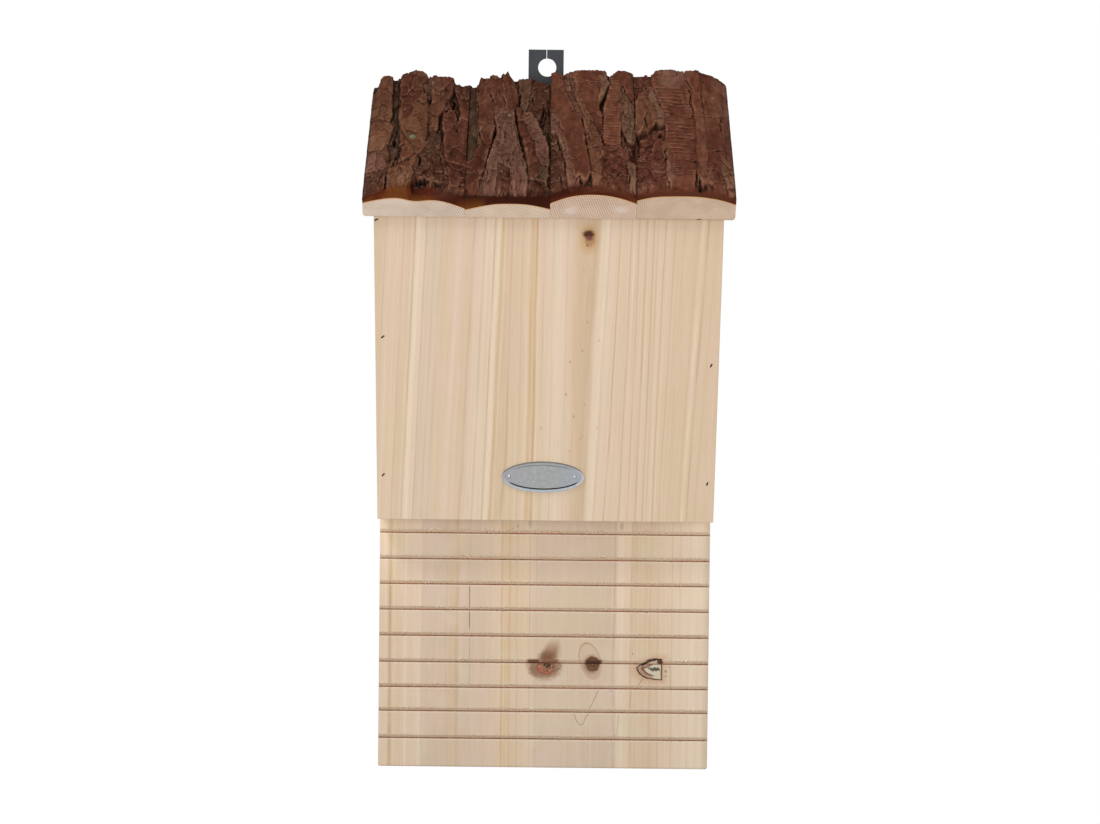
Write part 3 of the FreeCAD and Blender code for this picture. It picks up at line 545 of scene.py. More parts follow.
def board_extra(g, a, b, c, u, colour, height):
    blotch = g.noise(g.vec(g.mul(a, 0.05), g.mul(b, 0.045), 44.0), 1.0, 2.0)
    colour = g.mix(g.step(blotch, 0.52, 0.70, 0.0, 0.14), colour, lin((222, 200, 192), GAIN))
    colour = g.mix(g.step(blotch, 0.46, 0.30, 0.0, 0.30), colour, lin((214, 204, 172), GAIN))
    plain = colour
    cloud = g.sub(blotch, 0.5)
    for x, y, rx, ry, shade, level in ((17.3, -336.2, 30.0, 17.0, (206, 188, 154), 0.55), (20.0, -306.0, 32.0, 16.0, (212, 186, 164), 0.4), (16.0, -358.0, 34.0, 16.0, (208, 186, 154), 0.5),
                                       (18.0, -398.0, 36.0, 18.0, (212, 192, 162), 0.45), (-69.0, -297.0, 18.0, 11.0, (216, 192, 174), 0.45), (-69.0, -344.0, 18.0, 12.0, (216, 190, 170), 0.4), (-48.0, -300.0, 12.0, 14.0, (208, 188, 154), 0.35)):
        x = g.math("DIVIDE", g.sub(a, x), rx)
        y = g.math("DIVIDE", g.sub(b, y), ry)
        e = g.madd(cloud, 0.8, g.math("SQRT", g.add(g.mul(x, x), g.mul(y, y))))
        colour = g.mix(g.step(e, 1.0, 0.45, 0.0, level), colour, lin(shade, GAIN))
    n = g.noise(g.vec(g.mul(a, 0.5), g.mul(b, 0.5), 40.0), 1.0, 3.0)
    # left knot: a fan-shaped stain above a round red-brown branch
    warp = g.sub(n, 0.5)
    lean = g.madd(g.add(b, 366.4), -0.38, g.sub(a, 2.8))
    wedge = g.math("DIVIDE", g.math("ABSOLUTE", g.madd(warp, 4.0, lean)), g.step(b, -354.0, -368.0, 5.0, 8.8))
    fan = g.mul(g.step(wedge, 1.0, 0.35, 0.0, 1.0), g.mul(g.step(b, -352.0, -364.0, 0.0, 1.0), g.step(b, -370.5, -368.5, 0.0, 1.0)))
    colour = g.mix(g.mul(fan, 0.86), colour, lin((146, 102, 74), GAIN))
    heart = g.mul(g.step(g.math("ABSOLUTE", g.madd(warp, 3.0, g.sub(a, 2.4))), 6.0, 1.5, 0.0, 1.0), g.mul(g.step(b, -360.5, -366.0, 0.0, 1.0), g.step(b, -370.5, -368.5, 0.0, 1.0)))
    colour = g.mix(g.mul(heart, 0.72), colour, lin((108, 66, 44), GAIN))
    x = g.math("DIVIDE", g.sub(a, 0.6), 12.4)
    y = g.math("DIVIDE", g.sub(b, -372.2), 9.4)
    e = g.madd(warp, 0.45, g.math("SQRT", g.add(g.mul(x, x), g.mul(y, y))))
    halo = g.mul(g.step(e, 1.04, 0.62, 0.0, 1.0), g.step(b, -368.5, -370.0, 0.0, 1.0))
    colour = g.mix(g.mul(halo, 0.86), colour, lin((142, 104, 78), GAIN))
    colour, d = knot(g, a, b, (-5.0, -374.4), (5.6, 5.0), colour, ((136, 102, 78), 0.5), ((132, 98, 74), 0.2, 0.5), 12.0, 0.5)
    x = g.math("DIVIDE", g.sub(a, 1.4), 5.4)
    y = g.math("DIVIDE", g.sub(b, -372.4), 4.3)
    e = g.madd(warp, 0.5, g.math("SQRT", g.add(g.mul(x, x), g.mul(y, y))))
    swirl = g.noise(g.vec(g.mul(a, 0.26), g.mul(b, 0.30), 62.0), 1.0, 1.0, 0.5)
    curl = g.math("SINE", g.mul(swirl, 40.0))
    red = g.mul(g.step(e, 0.42, 0.80), g.step(g.madd(a, 0.40, b), -371.2, -373.6))
    colour = g.mix(g.step(e, 1.05, 0.85, 0.0, 0.94), colour, g.mix(red, lin((146, 102, 74), GAIN), lin((186, 104, 82), GAIN)))
    colour = g.mix(g.mul(g.step(curl, 0.20, 0.80, 0.0, 0.75), g.step(e, 1.0, 0.8, 0.0, 1.0)), colour, lin((100, 62, 42), GAIN))
    fleck = g.noise(g.vec(g.mul(a, 1.1), g.mul(b, 1.1), 64.0), 1.0, 1.0)
    colour = g.mix(g.mul(g.step(fleck, 0.58, 0.64, 0.0, 0.7), g.step(e, 0.9, 0.7, 0.0, 1.0)), colour, lin((204, 150, 128), GAIN))
    rim = g.mul(g.step(e, 0.84, 0.96, 0.0, 1.0), g.step(e, 1.14, 1.0, 0.0, 1.0))
    colour = g.mix(g.mul(rim, 0.6), colour, lin((126, 66, 48), GAIN))
    colour = dots(g, a, b, [(0.6, -371.0, 1.2, 0.95), (1.9, -372.3, 1.1, 0.95), (3.3, -371.6, 1.2, 0.95), (2.3, -370.7, 0.8, 0.9), (4.0, -370.9, 0.8, 0.9)], colour, (42, 28, 18))
    x = g.math("DIVIDE", g.sub(a, 5.0), 4.9)
    y = g.math("DIVIDE", g.sub(b, -371.8), 3.4)
    e = g.madd(g.sub(swirl, 0.5), 0.9, g.math("SQRT", g.add(g.mul(x, x), g.mul(y, y))))
    rim = g.mul(g.mul(g.step(e, 0.82, 0.96, 0.0, 1.0), g.step(e, 1.14, 1.0, 0.0, 1.0)), g.step(a, 3.5, 6.0, 0.0, 1.0))
    colour = g.mix(g.mul(rim, 0.7), colour, lin((112, 84, 50), GAIN))
    # middle knot: a thin pale oval above, a dark heart below it
    x = g.math("DIVIDE", g.sub(g.madd(b, 0.20, a), 28.9 - 0.20 * 368.4), 6.7)
    y = g.math("DIVIDE", g.sub(b, -368.4), 11.4)
    e = g.madd(warp, 0.14, g.math("SQRT", g.add(g.mul(x, x), g.mul(y, y))))
    colour = g.mix(g.mul(g.step(e, 1.02, 0.90, 0.0, 0.62), g.step(b, -366.0, -371.0, 0.35, 1.0)), colour, lin((184, 152, 126), GAIN))
    rim = g.mul(g.step(e, 0.90, 0.97, 0.0, 1.0), g.step(e, 1.06, 0.99, 0.0, 1.0))
    colour = g.mix(g.mul(rim, g.step(b, -372.0, -366.0, 0.25, 0.6)), colour, lin((158, 120, 92), GAIN))
    colour, d = knot(g, a, b, (29.8, -370.6), (6.6, 8.0), colour, ((150, 112, 92), 0.9), ((130, 90, 70), 0.6, 0.75), 19.0, 0.3)
    x = g.math("DIVIDE", g.sub(a, 30.6), 4.8)
    y = g.math("DIVIDE", g.sub(b, -370.2), 5.2)
    e = g.madd(g.sub(swirl, 0.5), 0.7, g.math("SQRT", g.add(g.mul(x, x), g.mul(y, y))))
    low_part = g.step(b, -370.5, -373.5, 0.0, 1.0)
    colour = g.mix(g.step(e, 1.06, 0.80, 0.0, 0.95), colour, g.mix(low_part, lin((104, 68, 46), GAIN), lin((112, 74, 52), GAIN)))
    core = g.step(e, 1.06, 0.90, 0.0, 1.0)
    colour = g.mix(g.mul(g.step(curl, 0.30, 0.85, 0.0, 0.6), g.step(e, 0.95, 0.7, 0.0, 1.0)), colour, lin((56, 36, 24), GAIN))
    colour = g.mix(g.mul(g.step(fleck, 0.57, 0.64, 0.0, 0.45), g.step(e, 0.85, 0.6, 0.0, 1.0)), colour, lin((166, 126, 92), GAIN))
    # right knot: a pale loose plug with a dark outline
    ex = g.math("DIVIDE", g.sub(a, 74.0), 16.2)
    ey = g.math("DIVIDE", g.sub(b, -368.6), 10.9)
    e = g.add(g.math("POWER", g.math("ABSOLUTE", ex), 2.8), g.math("POWER", g.math("ABSOLUTE", ey), 2.8))
    e = g.sub(1.0, g.math("POWER", e, 1 / 2.8))
    m = g.math("MINIMUM", g.math("MINIMUM", g.mul(e, 11.0), g.sub(73.5, a)), g.math("MINIMUM", g.sub(-366.9, b), g.math("MAXIMUM", g.mul(g.sub(g.madd(g.sub(a, 61.9), 0.51, -370.4), b), 0.9), g.sub(-369.9, b))))
    m = g.math("MINIMUM", m, g.mul(g.sub(g.madd(g.sub(a, 57.2), 0.765, -372.6), b), 0.8))
    m = g.madd(warp, 1.1, m)
    colour = g.mix(g.step(m, -5.0, 0.0, 0.0, 0.5), colour, lin((186, 140, 112), GAIN))
    colour = g.mix(g.step(m, 0.2, 0.9, 0.0, 0.9), colour, lin((204, 192, 166), GAIN))
    ring = g.mul(g.mul(g.step(m, 0.5, 0.9, 0.0, 1.0), g.step(m, 2.6, 2.0, 0.0, 1.0)), g.step(a, 70.0, 66.0, 0.0, 1.0))
    colour = g.mix(g.mul(ring, 0.75), colour, lin((156, 104, 80), GAIN))
    rim = g.mul(g.step(m, -0.60, -0.1, 0.0, 1.0), g.step(m, 0.72, 0.25, 0.0, 1.0))
    colour = g.mix(g.mul(rim, 0.94), colour, lin((84, 48, 30), GAIN))
    rim2 = g.mul(g.mul(g.step(m, 1.7, 2.1, 0.0, 1.0), g.step(m, 2.9, 2.4, 0.0, 1.0)), g.step(a, 70.0, 66.0, 0.0, 1.0))
    colour = g.mix(g.mul(rim2, 0.92), colour, lin((92, 52, 34), GAIN))
    colour = dots(g, a, b, [(65.5, -372.4, 0.8, 0.9), (66.8, -372.9, 1.1, 0.95), (68.1, -373.4, 1.2, 0.97), (69.1, -372.6, 1.1, 0.97), (70.0, -373.4, 1.1, 0.95), (71.0, -372.7, 1.1, 0.97), (71.9, -373.3, 0.8, 0.9)], colour, (36, 24, 16))
    colour = g.mix(g.mul(polyline_mask(g, a, b, [(61.6, -379.0), (60.4, -381.2), (58.6, -383.7)], 0.5), 0.55), colour, lin((146, 108, 82), GAIN))
    colour = dots(g, a, b, [(76.0, -374.2, 1.1, 0.6), (76.0, -377.3, 0.8, 0.5), (78.0, -371.6, 0.7, 0.4), (55.4, -363.6, 0.8, 0.4), (-51.1, -303.3, 0.6, 0.9), (-48.6, -368.6, 0.9, 0.95), (28.0, -402.1, 0.5, 0.6),
                            (42.1, -386.9, 0.6, 0.6), (44.6, -415.0, 0.6, 0.6), (-20.0, -286.2, 0.7, 0.4), (-16.9, -284.9, 0.8, 0.4)], colour, (96, 66, 44))
    # the thin V of a grain line, a crack and a few short marks
    colour = g.mix(g.mul(polyline_mask(g, a, b, [(34.0, -387.0), (29.2, -397.7), (28.0, -400.2), (24.9, -407.7), (23.1, -408.6), (20.9, -406.0), (19.3, -401.5)], 0.45), 0.6), colour, lin((140, 108, 80), GAIN))
    crack = g.mul(g.step(g.math("ABSOLUTE", g.sub(a, -46.4)), 0.42, 0.08, 0.0, 1.0), g.mul(g.step(b, -352.0, -346.0, 0.0, 1.0), g.step(b, -320.0, -324.0, 0.12, 1.0)))
    colour = g.mix(g.mul(crack, 0.85), colour, lin((104, 82, 58), GAIN))
    tail = g.mul(g.step(g.math("ABSOLUTE", g.sub(a, -46.2)), 0.5, 0.1, 0.0, 1.0), g.mul(g.step(b, -388.0, -384.0, 0.0, 1.0), g.step(b, -350.0, -353.0, 0.0, 1.0)))
    colour = g.mix(g.mul(tail, 0.38), colour, lin((150, 124, 96), GAIN))
    for line in ([(54.9, -386.1), (53.5, -398.7)], [(47.0, -402.5), (45.9, -414.4)], [(78.6, -366.0), (78.9, -386.0)]):
        colour = g.mix(g.mul(polyline_mask(g, a, b, line, 0.4), 0.42), colour, lin((150, 120, 90), GAIN))
    for x, y, s in ((47.6, -284.0, 0.45), (-9.2, -282.5, 0.3)):
        dx, dy = g.mul(g.sub(a, x), 0.7), g.mul(g.sub(b, y), 0.35)
        d = g.math("SQRT", g.add(g.mul(dx, dx), g.mul(dy, dy)))
        colour = g.mix(g.step(d, 1.6, 0.2, 0.0, s), colour, lin((150, 118, 88), GAIN))
    # saw-cut grooves: a rough tan slope, partly painted shade, above a thin brown line, with painted highlights along
    # the upper and lower edges and bright splinters
    depth = g.mul(c, -1.0)
    along_x = g.noise(g.vec(g.mul(a, 0.045), g.mul(b, 0.05), 50.0), 1.0, 2.0)
    fuzz = g.noise(g.vec(g.mul(a, 1.6), g.mul(b, 0.9), 52.0), 1.0, 3.0, 0.65)
    jag = g.noise(g.vec(g.mul(a, 0.85), g.mul(b, 0.35), 54.0), 1.0, 2.0, 0.6)
    burr = g.noise(g.vec(g.mul(a, 0.05), g.mul(b, 0.09), 56.0), 1.0, 3.0, 0.6)
    quiet = g.mul(near_groove(g, b, -369.8), g.mul(g.step(a, -14.0, -11.0, 0.0, 1.0), g.step(a, 80.0, 77.0, 0.0, 1.0)))
    burr = g.mul(g.step(burr, 0.52, 0.64, 0.0, 1.0), g.sub(1.0, quiet))
    off = g.sub(b, g.curve(b, -425.0, -281.0, groove_rows()))
    close = g.step(g.lines(b, [(z, 6.0, 1.0) for z in GROOVES]), 0.10, 0.25, 0.0, 1.0)
    up = g.madd(g.sub(jag, 0.5), g.step(burr, 0.0, 1.0, 0.6, 3.0), off)
    slope = g.mul(g.mul(g.step(up, 2.4, 1.7, 0.0, 1.0), g.step(off, 0.0, 0.3, 0.0, 1.0)), close)
    # the slope's tan is rough sawn wood, darkened in part as painted shade under the groove's upper edge
    rough_wood_and_shade = g.mix(g.step(fuzz, 0.35, 0.62), lin((177, 149, 120), GAIN), lin((205, 179, 151), GAIN))
    colour = g.mix(g.mul(slope, g.step(along_x, 0.35, 0.65, 0.65, 0.95)), colour, rough_wood_and_shade)
    # painted highlight: a bright broken line along the groove's upper edge
    highlit_lip = g.mul(g.mul(g.step(up, 2.2, 2.6, 0.0, 1.0), g.step(up, 3.3, 2.7, 0.0, 1.0)), g.mul(close, burr))
    colour = g.mix(g.mul(highlit_lip, g.step(jag, 0.40, 0.62, 0.0, 0.5)), colour, lin((236, 220, 196), GAIN))
    # painted highlight: a pale line along the groove's lower edge
    low = g.madd(g.sub(jag, 0.5), 0.9, off)
    edge = g.mul(g.mul(g.mul(g.step(low, -0.35, -0.6, 0.0, 1.0), g.step(low, -1.5, -0.9, 0.0, 1.0)), close), g.sub(1.0, quiet))
    colour = g.mix(g.mul(edge, g.step(fuzz, 0.35, 0.6, 0.15, 0.6)), colour, lin((232, 212, 194), GAIN))
    deep = g.mul(g.step(depth, 0.75, 0.95, 0.0, 1.0), g.mul(g.step(off, -0.65, -0.45, 0.0, 1.0), g.step(off, 0.60, 0.40, 0.0, 1.0)))
    hot = g.mix(g.step(along_x, 0.40, 0.60, 0.0, 1.0), lin((168, 120, 82), GAIN), lin((184, 108, 62), GAIN))
    hot = g.mix(g.mul(g.step(fuzz, 0.50, 0.66, 0.0, 0.8), g.step(burr, 0.0, 1.0, 0.3, 1.0)), hot, lin((120, 84, 62), GAIN))
    dash = g.noise(g.vec(g.mul(a, 0.32), g.mul(b, 0.08), 59.0), 1.0, 1.0, 0.5)
    hot = g.mix(g.step(dash, 0.56, 0.66, 0.0, 0.65), hot, lin((104, 64, 42), GAIN))
    in_knot = g.mul(near_groove(g, b, -369.8), g.math("MAXIMUM", g.mul(g.step(a, -11.0, -9.5, 0.0, 1.0), g.step(a, 8.0, 6.0, 0.0, 1.0)), g.mul(g.step(a, 25.0, 26.5, 0.0, 1.0), g.step(a, 36.5, 35.0, 0.0, 1.0))))
    hot = g.mix(g.mul(in_knot, 0.92), hot, lin((88, 52, 34), GAIN))
    colour = g.mix(g.mul(deep, 0.95), colour, hot)
    spots = g.noise(g.vec(g.mul(a, 0.9), g.mul(b, 1.2), 58.0), 1.0, 2.0)
    inside_it = g.mul(g.mul(g.step(off, 3.0, 2.2, 0.0, 1.0), g.step(off, -1.3, -0.6, 0.0, 1.0)), g.mul(close, g.mul(g.math("MAXIMUM", burr, 0.45), g.sub(1.0, quiet))))
    colour = g.mix(g.mul(g.mul(g.step(spots, 0.54, 0.60, 0.0, 1.0), inside_it), 0.45), colour, lin((236, 218, 190), GAIN))
    colour = g.mix(g.mul(g.mul(g.step(spots, 0.44, 0.38, 0.0, 1.0), inside_it), 0.6), colour, lin((142, 106, 80), GAIN))
    height = g.add(height, g.mul(g.mul(slope, fuzz), 4.0))
    # the knots stain the slope of their groove
    ledge = g.mul(g.mul(g.step(up, 3.0, 1.6, 0.0, 1.0), g.step(off, -0.4, 0.0, 0.0, 1.0)), near_groove(g, b, -369.8))
    for lo, hi, shade, level in ((-11.5, -1.0, (108, 66, 42), 0.93), (-3.0, 10.5, (132, 90, 66), 0.92), (24.6, 37.6, (82, 48, 30), 0.96)):
        colour = g.mix(g.mul(g.mul(g.mul(g.step(a, lo, lo + 2.6, 0.0, 1.0), g.step(a, hi, hi - 2.6, 0.0, 1.0)), ledge), level), colour, lin(shade, GAIN))
    # above its groove the right knot has a pale patch below a ragged black stroke
    top = g.mul(g.step(m, 0.1, 0.7, 0.0, 1.0), g.step(off, -0.2, 0.2, 0.0, 1.0))
    top = g.mul(top, near_groove(g, b, -369.8))
    colour = g.mix(g.mul(top, 0.88), colour, g.mix(g.step(a, 69.8, 71.4), lin((206, 186, 156), GAIN), lin((124, 84, 60), GAIN)))
    ra, rb = g.madd(g.sub(jag, 0.5), 1.6, a), g.madd(g.sub(fuzz, 0.5), 1.2, b)
    for line, width in (([(61.6, -370.3), (63.6, -369.1), (66.2, -367.7), (69.0, -366.8)], 1.25), ([(64.0, -367.6), (66.6, -367.0)], 0.6), ([(68.6, -367.4), (70.6, -366.7), (72.6, -367.4), (73.9, -369.0)], 0.95), ([(70.8, -368.0), (72.9, -369.3)], 0.7)):
        colour = g.mix(g.mul(polyline_mask(g, ra, rb, line, width), 0.94), colour, lin((52, 30, 18), GAIN))
    return g.mix(g.step(c, -2.4, -1.9, 0.0, 1.0), plain, colour), height


def near_groove(g, b, z):
    return g.mul(g.step(b, z - 3.5, z - 2.5, 0.0, 1.0), g.step(b, z + 4.5, z + 3.5, 0.0, 1.0))


def groove_rows():
    """Steps that give, at any height, the height of the nearest groove."""
    rows = []
    for upper, lower in zip(GROOVES, GROOVES[1:]):
        mid = (upper + lower) / 2
        rows += [(mid + 0.3, upper), (mid - 0.3, lower)]
    return sorted([(-281.0, GROOVES[0]), (-425.0, GROOVES[-1])] + rows)


# painted light and shade: the back board lighter towards its top under the front panel and darker towards its bottom
board_wood = timber("back_spruce", BOARD_O, BOARD_AX, BOARD_BANDS, BOARD_DARK, BOARD_AMBER, BOARD_LIGHT, None, 0.0, 4.0, board_extra, 0.62, [(-440.0, (0.86, 0.88, 0.91)), (-380.0, (0.89, 0.905, 0.925)), (-340.0, (0.91, 0.92, 0.94)), (-312.0, (1.00, 1.01, 1.02)), (-285.0, (1.13, 1.15, 1.17))])
use(board_wood, "back_board")

SIDE_BANDS = [(-100, "sand"), (-80, "beige"), (-70, "pale"), (-62, "tan"), (-50, "beige"), (-40, "rose"), (-31, "sand"), (-24, "pale"), (-14, "honey"), (-6, "beige"), (8, "pale"), (20, "sand")]
SIDE_DARK = [(-88, 0.8, 0.4), (-76.5, 0.7, 0.45), (-66.0, 0.8, 0.5), (-58.2, 0.6, 0.45), (-47.0, 0.8, 0.35), (-39.0, 0.6, 0.5), (-30.2, 0.7, 0.5), (-21.0, 0.8, 0.45), (-15.0, 0.6, 0.4)]
for k, side in enumerate(("side_panel_left", "side_panel_right")):
    wood = timber("side_spruce_%d" % (k + 1), (0, 0, 0), ((0, 1, 0), (0, 0, 1), (1, 0, 0)), SIDE_BANDS, SIDE_DARK, [(-53.0, 0.8, 0.4)], [(-43.0, 1.0, 0.4)], None, 0.0, 9.0 + 6 * k)
    use(wood, side)

# ---------------------------------------------------------------- roof slabs

SLOPE = math.radians(35.5)
CS, SN = math.cos(SLOPE), math.sin(SLOPE)
ROOF_Y, ROOF_Z = -105.3, -96.8
ROOF_LEN = 126.9
GAP = 0.1
CENTRE_X = 1.9
SLABS = [
    dict(x=-108.75, w=59.6, wood=(9.3, 11.3, 12.9, 13.1, 10.2, 11.7, 11.7, 9.4, 6.1), bark=(15.4, 21.3, 20.6, 22.8, 22.9, 21.8, 21.0, 18.2, 16.6)),
    dict(x=-49.15, w=49.7, wood=(5.3, 6.9, 8.5, 9.6, 9.7, 9.7, 9.3, 8.0, 6.2), bark=(16.6, 19.6, 20.9, 22.0, 20.8, 19.3, 20.3, 21.2, 20.6)),
    dict(x=0.55, w=50.5, wood=(10.3, 13.5, 15.4, 16.5, 16.7, 16.4, 15.2, 13.4, 10.6), bark=(20.8, 22.9, 24.1, 25.3, 24.1, 24.2, 23.4, 24.3, 22.1)),
    dict(x=51.05, w=57.7, wood=(12.9, 15.2, 16.0, 16.1, 16.3, 16.0, 15.0, 13.5, 10.7), bark=(21.6, 22.8, 24.3, 24.2, 24.3, 23.9, 23.8, 22.0, 16.4)),
]


def roof_point(k, u, v, h):
    """Row coordinates, in mm, of slab coordinates: across, up the slope, out of it."""
    return np.stack(
        np.broadcast_arrays(
            SLABS[k]["x"] + CENTRE_X + u + 0 * v + 0 * h,
            ROOF_Y + v * CS - h * SN + 0 * u,
            ROOF_Z + v * SN + h * CS + 0 * u,
        ),
        -1,
    )


def profile(k, name, u):
    """Height of a slab's wood or bark across it. The curve's control points are evenly spaced across the slab."""
    t = np.linspace(0, 1, 800)
    x = GAP / 2 + (SLABS[k]["w"] - GAP) * bspline(np.linspace(0, 1, 9), t)
    return np.interp(u, x, bspline(SLABS[k][name], t))


def slab_wood(k):
    """Half-round timber: pale flanks, and a sawn end with hatching and growth rings."""
    g = Graph("slab_spruce_%d" % (k + 1))
    s = SLABS[k]
    u, v, h = g.local((s["x"] + CENTRE_X, ROOF_Y, ROOF_Z), ((1, 0, 0), (0, CS, SN), (0, -SN, CS)))
    end = g.math("ABSOLUTE", g.facing((0, CS, SN)))
    end = g.step(end, 0.6, 0.8, 0.0, 1.0)
    seed = 60.0 + 7 * k
    streak = g.noise(g.vec(g.mul(u, 0.5), g.mul(v, 0.012), g.madd(h, 0.3, seed)), 1.0, 4.0, 0.6)
    fibre = g.noise(g.vec(g.mul(u, 3.5), g.mul(v, 0.10), g.madd(h, 3.0, seed + 2)), 1.0, 3.0, 0.6)
    side = g.mix(g.step(streak, 0.3, 0.72), lin((226, 206, 178), GAIN), lin((205, 176, 142), GAIN))
    side = g.mix(g.step(fibre, 0.45, 0.8, 0.0, 0.3), side, lin((186, 154, 120), GAIN))
    # sawn end
    base = ((218, 198, 180), (222, 200, 178), (216, 190, 168), (208, 182, 158))[k]
    soft = g.noise(g.vec(g.mul(u, 0.09), g.mul(h, 0.12), seed + 5), 1.0, 2.0)
    face = g.mix(g.step(soft, 0.35, 0.65), lin(base, GAIN), lin(tuple(c - 10 for c in base), GAIN))
    pith = ((33.0, -16.0), (24.0, -24.0), (24.0, -9.0), (26.0, -22.0))[k]
    dx, dh = g.sub(u, pith[0]), g.sub(h, pith[1])
    r = g.math("SQRT", g.add(g.mul(dx, dx), g.mul(dh, dh)))
    r = g.madd(g.sub(soft, 0.5), 3.0, r)
    ring = g.math("SINE", g.mul(r, 2 * math.pi / (1.9, 2.3, 1.5, 2.6)[k]))
    ring = g.step(ring, 0.35, 1.0, 0.0, (0.10, 0.10, 0.34, 0.12)[k])
    face = g.mix(ring, face, lin(((196, 166, 136), (196, 166, 136), (188, 140, 118), (186, 154, 120))[k], GAIN))
    slant = (0.55, 0.62, 0.35, 0.10)[k]
    saw = g.math("SINE", g.mul(g.add(g.mul(u, math.cos(slant)), g.mul(h, math.sin(slant))), 2 * math.pi / 1.30))
    patch = g.noise(g.vec(g.mul(u, 0.06), g.mul(h, 0.1), seed + 9), 1.0, 1.0)
    where = (g.step(u, 27.0, 33.0), 1.0, 1.0, g.step(u, 12.0, 6.0))[k]
    bright = g.mul(g.mul(g.step(saw, -0.2, -0.9, 0.0, 1.0), g.step(patch, 0.35, 0.6, 0.2, 0.8)), where)
    saw = g.mul(g.mul(g.step(saw, 0.1, 0.95, 0.0, 1.0), g.step(patch, 0.30, 0.5, 0.35, 1.0)), where)
    face = g.mix(g.mul(bright, (0.35, 0.35, 0.30, 0.2)[k]), face, lin((236, 220, 204), GAIN))
    face = g.mix(g.mul(saw, (0.62, 0.62, 0.55, 0.4)[k]), face, lin((164, 134, 110), GAIN))
    if k == 2:
        arcs = g.mul(g.step(g.math("SINE", g.mul(r, 2 * math.pi / 1.5)), 0.45, 0.95, 0.0, 1.0), g.mul(g.step(h, 5.0, 9.0, 0.15, 1.0), g.step(u, 44.0, 32.0, 0.2, 1.0)))
        face = g.mix(g.mul(arcs, g.madd(saw, 0.45, 0.12)), face, lin((150, 92, 76), GAIN))
        fleck = g.noise(g.vec(g.mul(u, 0.55), g.mul(h, 1.2), seed + 12), 1.0, 2.0)
        face = g.mix(g.mul(g.step(fleck, 0.56, 0.70, 0.0, 0.45), g.step(u, 40.0, 20.0)), face, lin((206, 150, 130), GAIN))
        # painted sheen: two soft whitish patches on the sawn end
        for x, y, level in ((11.5, 5.2, 0.5), (41.0, 6.6, 0.45)):
            pale = g.math("SQRT", g.add(g.math("POWER", g.mul(g.sub(u, x), 0.16), 2.0), g.math("POWER", g.mul(g.sub(h, y), 0.26), 2.0)))
            pale = g.madd(g.sub(fleck, 0.5), 1.2, pale)
            face = g.mix(g.step(pale, 1.0, 0.2, 0.0, level), face, lin((228, 216, 206), GAIN))
    if k == 3:
        flat = g.noise(g.vec(g.mul(u, 0.14), g.mul(h, 1.3), seed + 12), 1.0, 3.0)
        face = g.mix(g.step(flat, 0.52, 0.66, 0.0, 0.35), face, lin((186, 160, 134), GAIN))
        mark = g.math("SQRT", g.add(g.math("POWER", g.mul(g.sub(u, 36.6), 0.55), 2.0), g.math("POWER", g.mul(g.sub(h, 0.2), 1.3), 2.0)))
        face = g.mix(g.step(mark, 1.0, 0.7, 0.0, 0.9), face, lin((92, 64, 58), GAIN))
    # a thin warm line where the wood meets the bark
    rows = [(u_mm, float(profile(k, "wood", u_mm))) for u_mm in np.linspace(GAP / 2, s["w"] - GAP / 2, 17)]
    top = g.curve(u, 0.0, s["w"], rows)
    below = g.sub(top, h)
    face = g.mix(g.step(below, 0.9, 0.25, 0.0, 0.75), face, lin((204, 150, 88), GAIN))
    low = g.mul(g.step(h, 1.0, 0.3, 0.0, 0.4 if k == 3 else 0.12), 1.0)
    face = g.mix(low, face, lin((166, 132, 104), GAIN))
    colour = g.mix(end, side, face)
    g.link(colour, g.bsdf.inputs["Base Color"])
    g.bsdf.inputs["Roughness"].default_value = 0.75
    g.bsdf.inputs["Specular IOR Level"].default_value = 0.15
    g.bump(g.add(g.mul(g.mul(saw, end), -0.8), g.mul(fibre, 0.5)), 0.15, 0.5)
    return g.mat


for k in range(4):
    use(slab_wood(k), "roof_slab_%d" % (k + 1))

# ---------------------------------------------------------------- bark

BARK = {
    "red": (98, 58, 44), "maroon": (86, 48, 37), "deep": (62, 28, 15), "olive": (64, 46, 33), "moss": (82, 63, 48), "grey": (100, 74, 59),
    "mauve": (108, 76, 63), "brown": (100, 65, 48), "tan": (107, 72, 52), "orange": (112, 64, 30), "light": (134, 102, 84), "black": (28, 14, 8),
    "rust": (93, 54, 40), "dusk": (74, 45, 33), "pink": (110, 77, 65), "fawn": (112, 84, 68), "sienna": (103, 62, 46), "straw": (114, 79, 59),
    "ember": (112, 62, 26), "wine": (90, 38, 18), "umber": (55, 22, 11), "brick": (94, 50, 34), "cocoa": (90, 46, 30), "char": (70, 27, 12),
}
BARK_GAIN = (0.93, 0.88, 1.02, 1.05)  # measured against the scene's light
KINDS = ("smooth", "flat", "scaly", "fibrous", "striped", "lumpy")

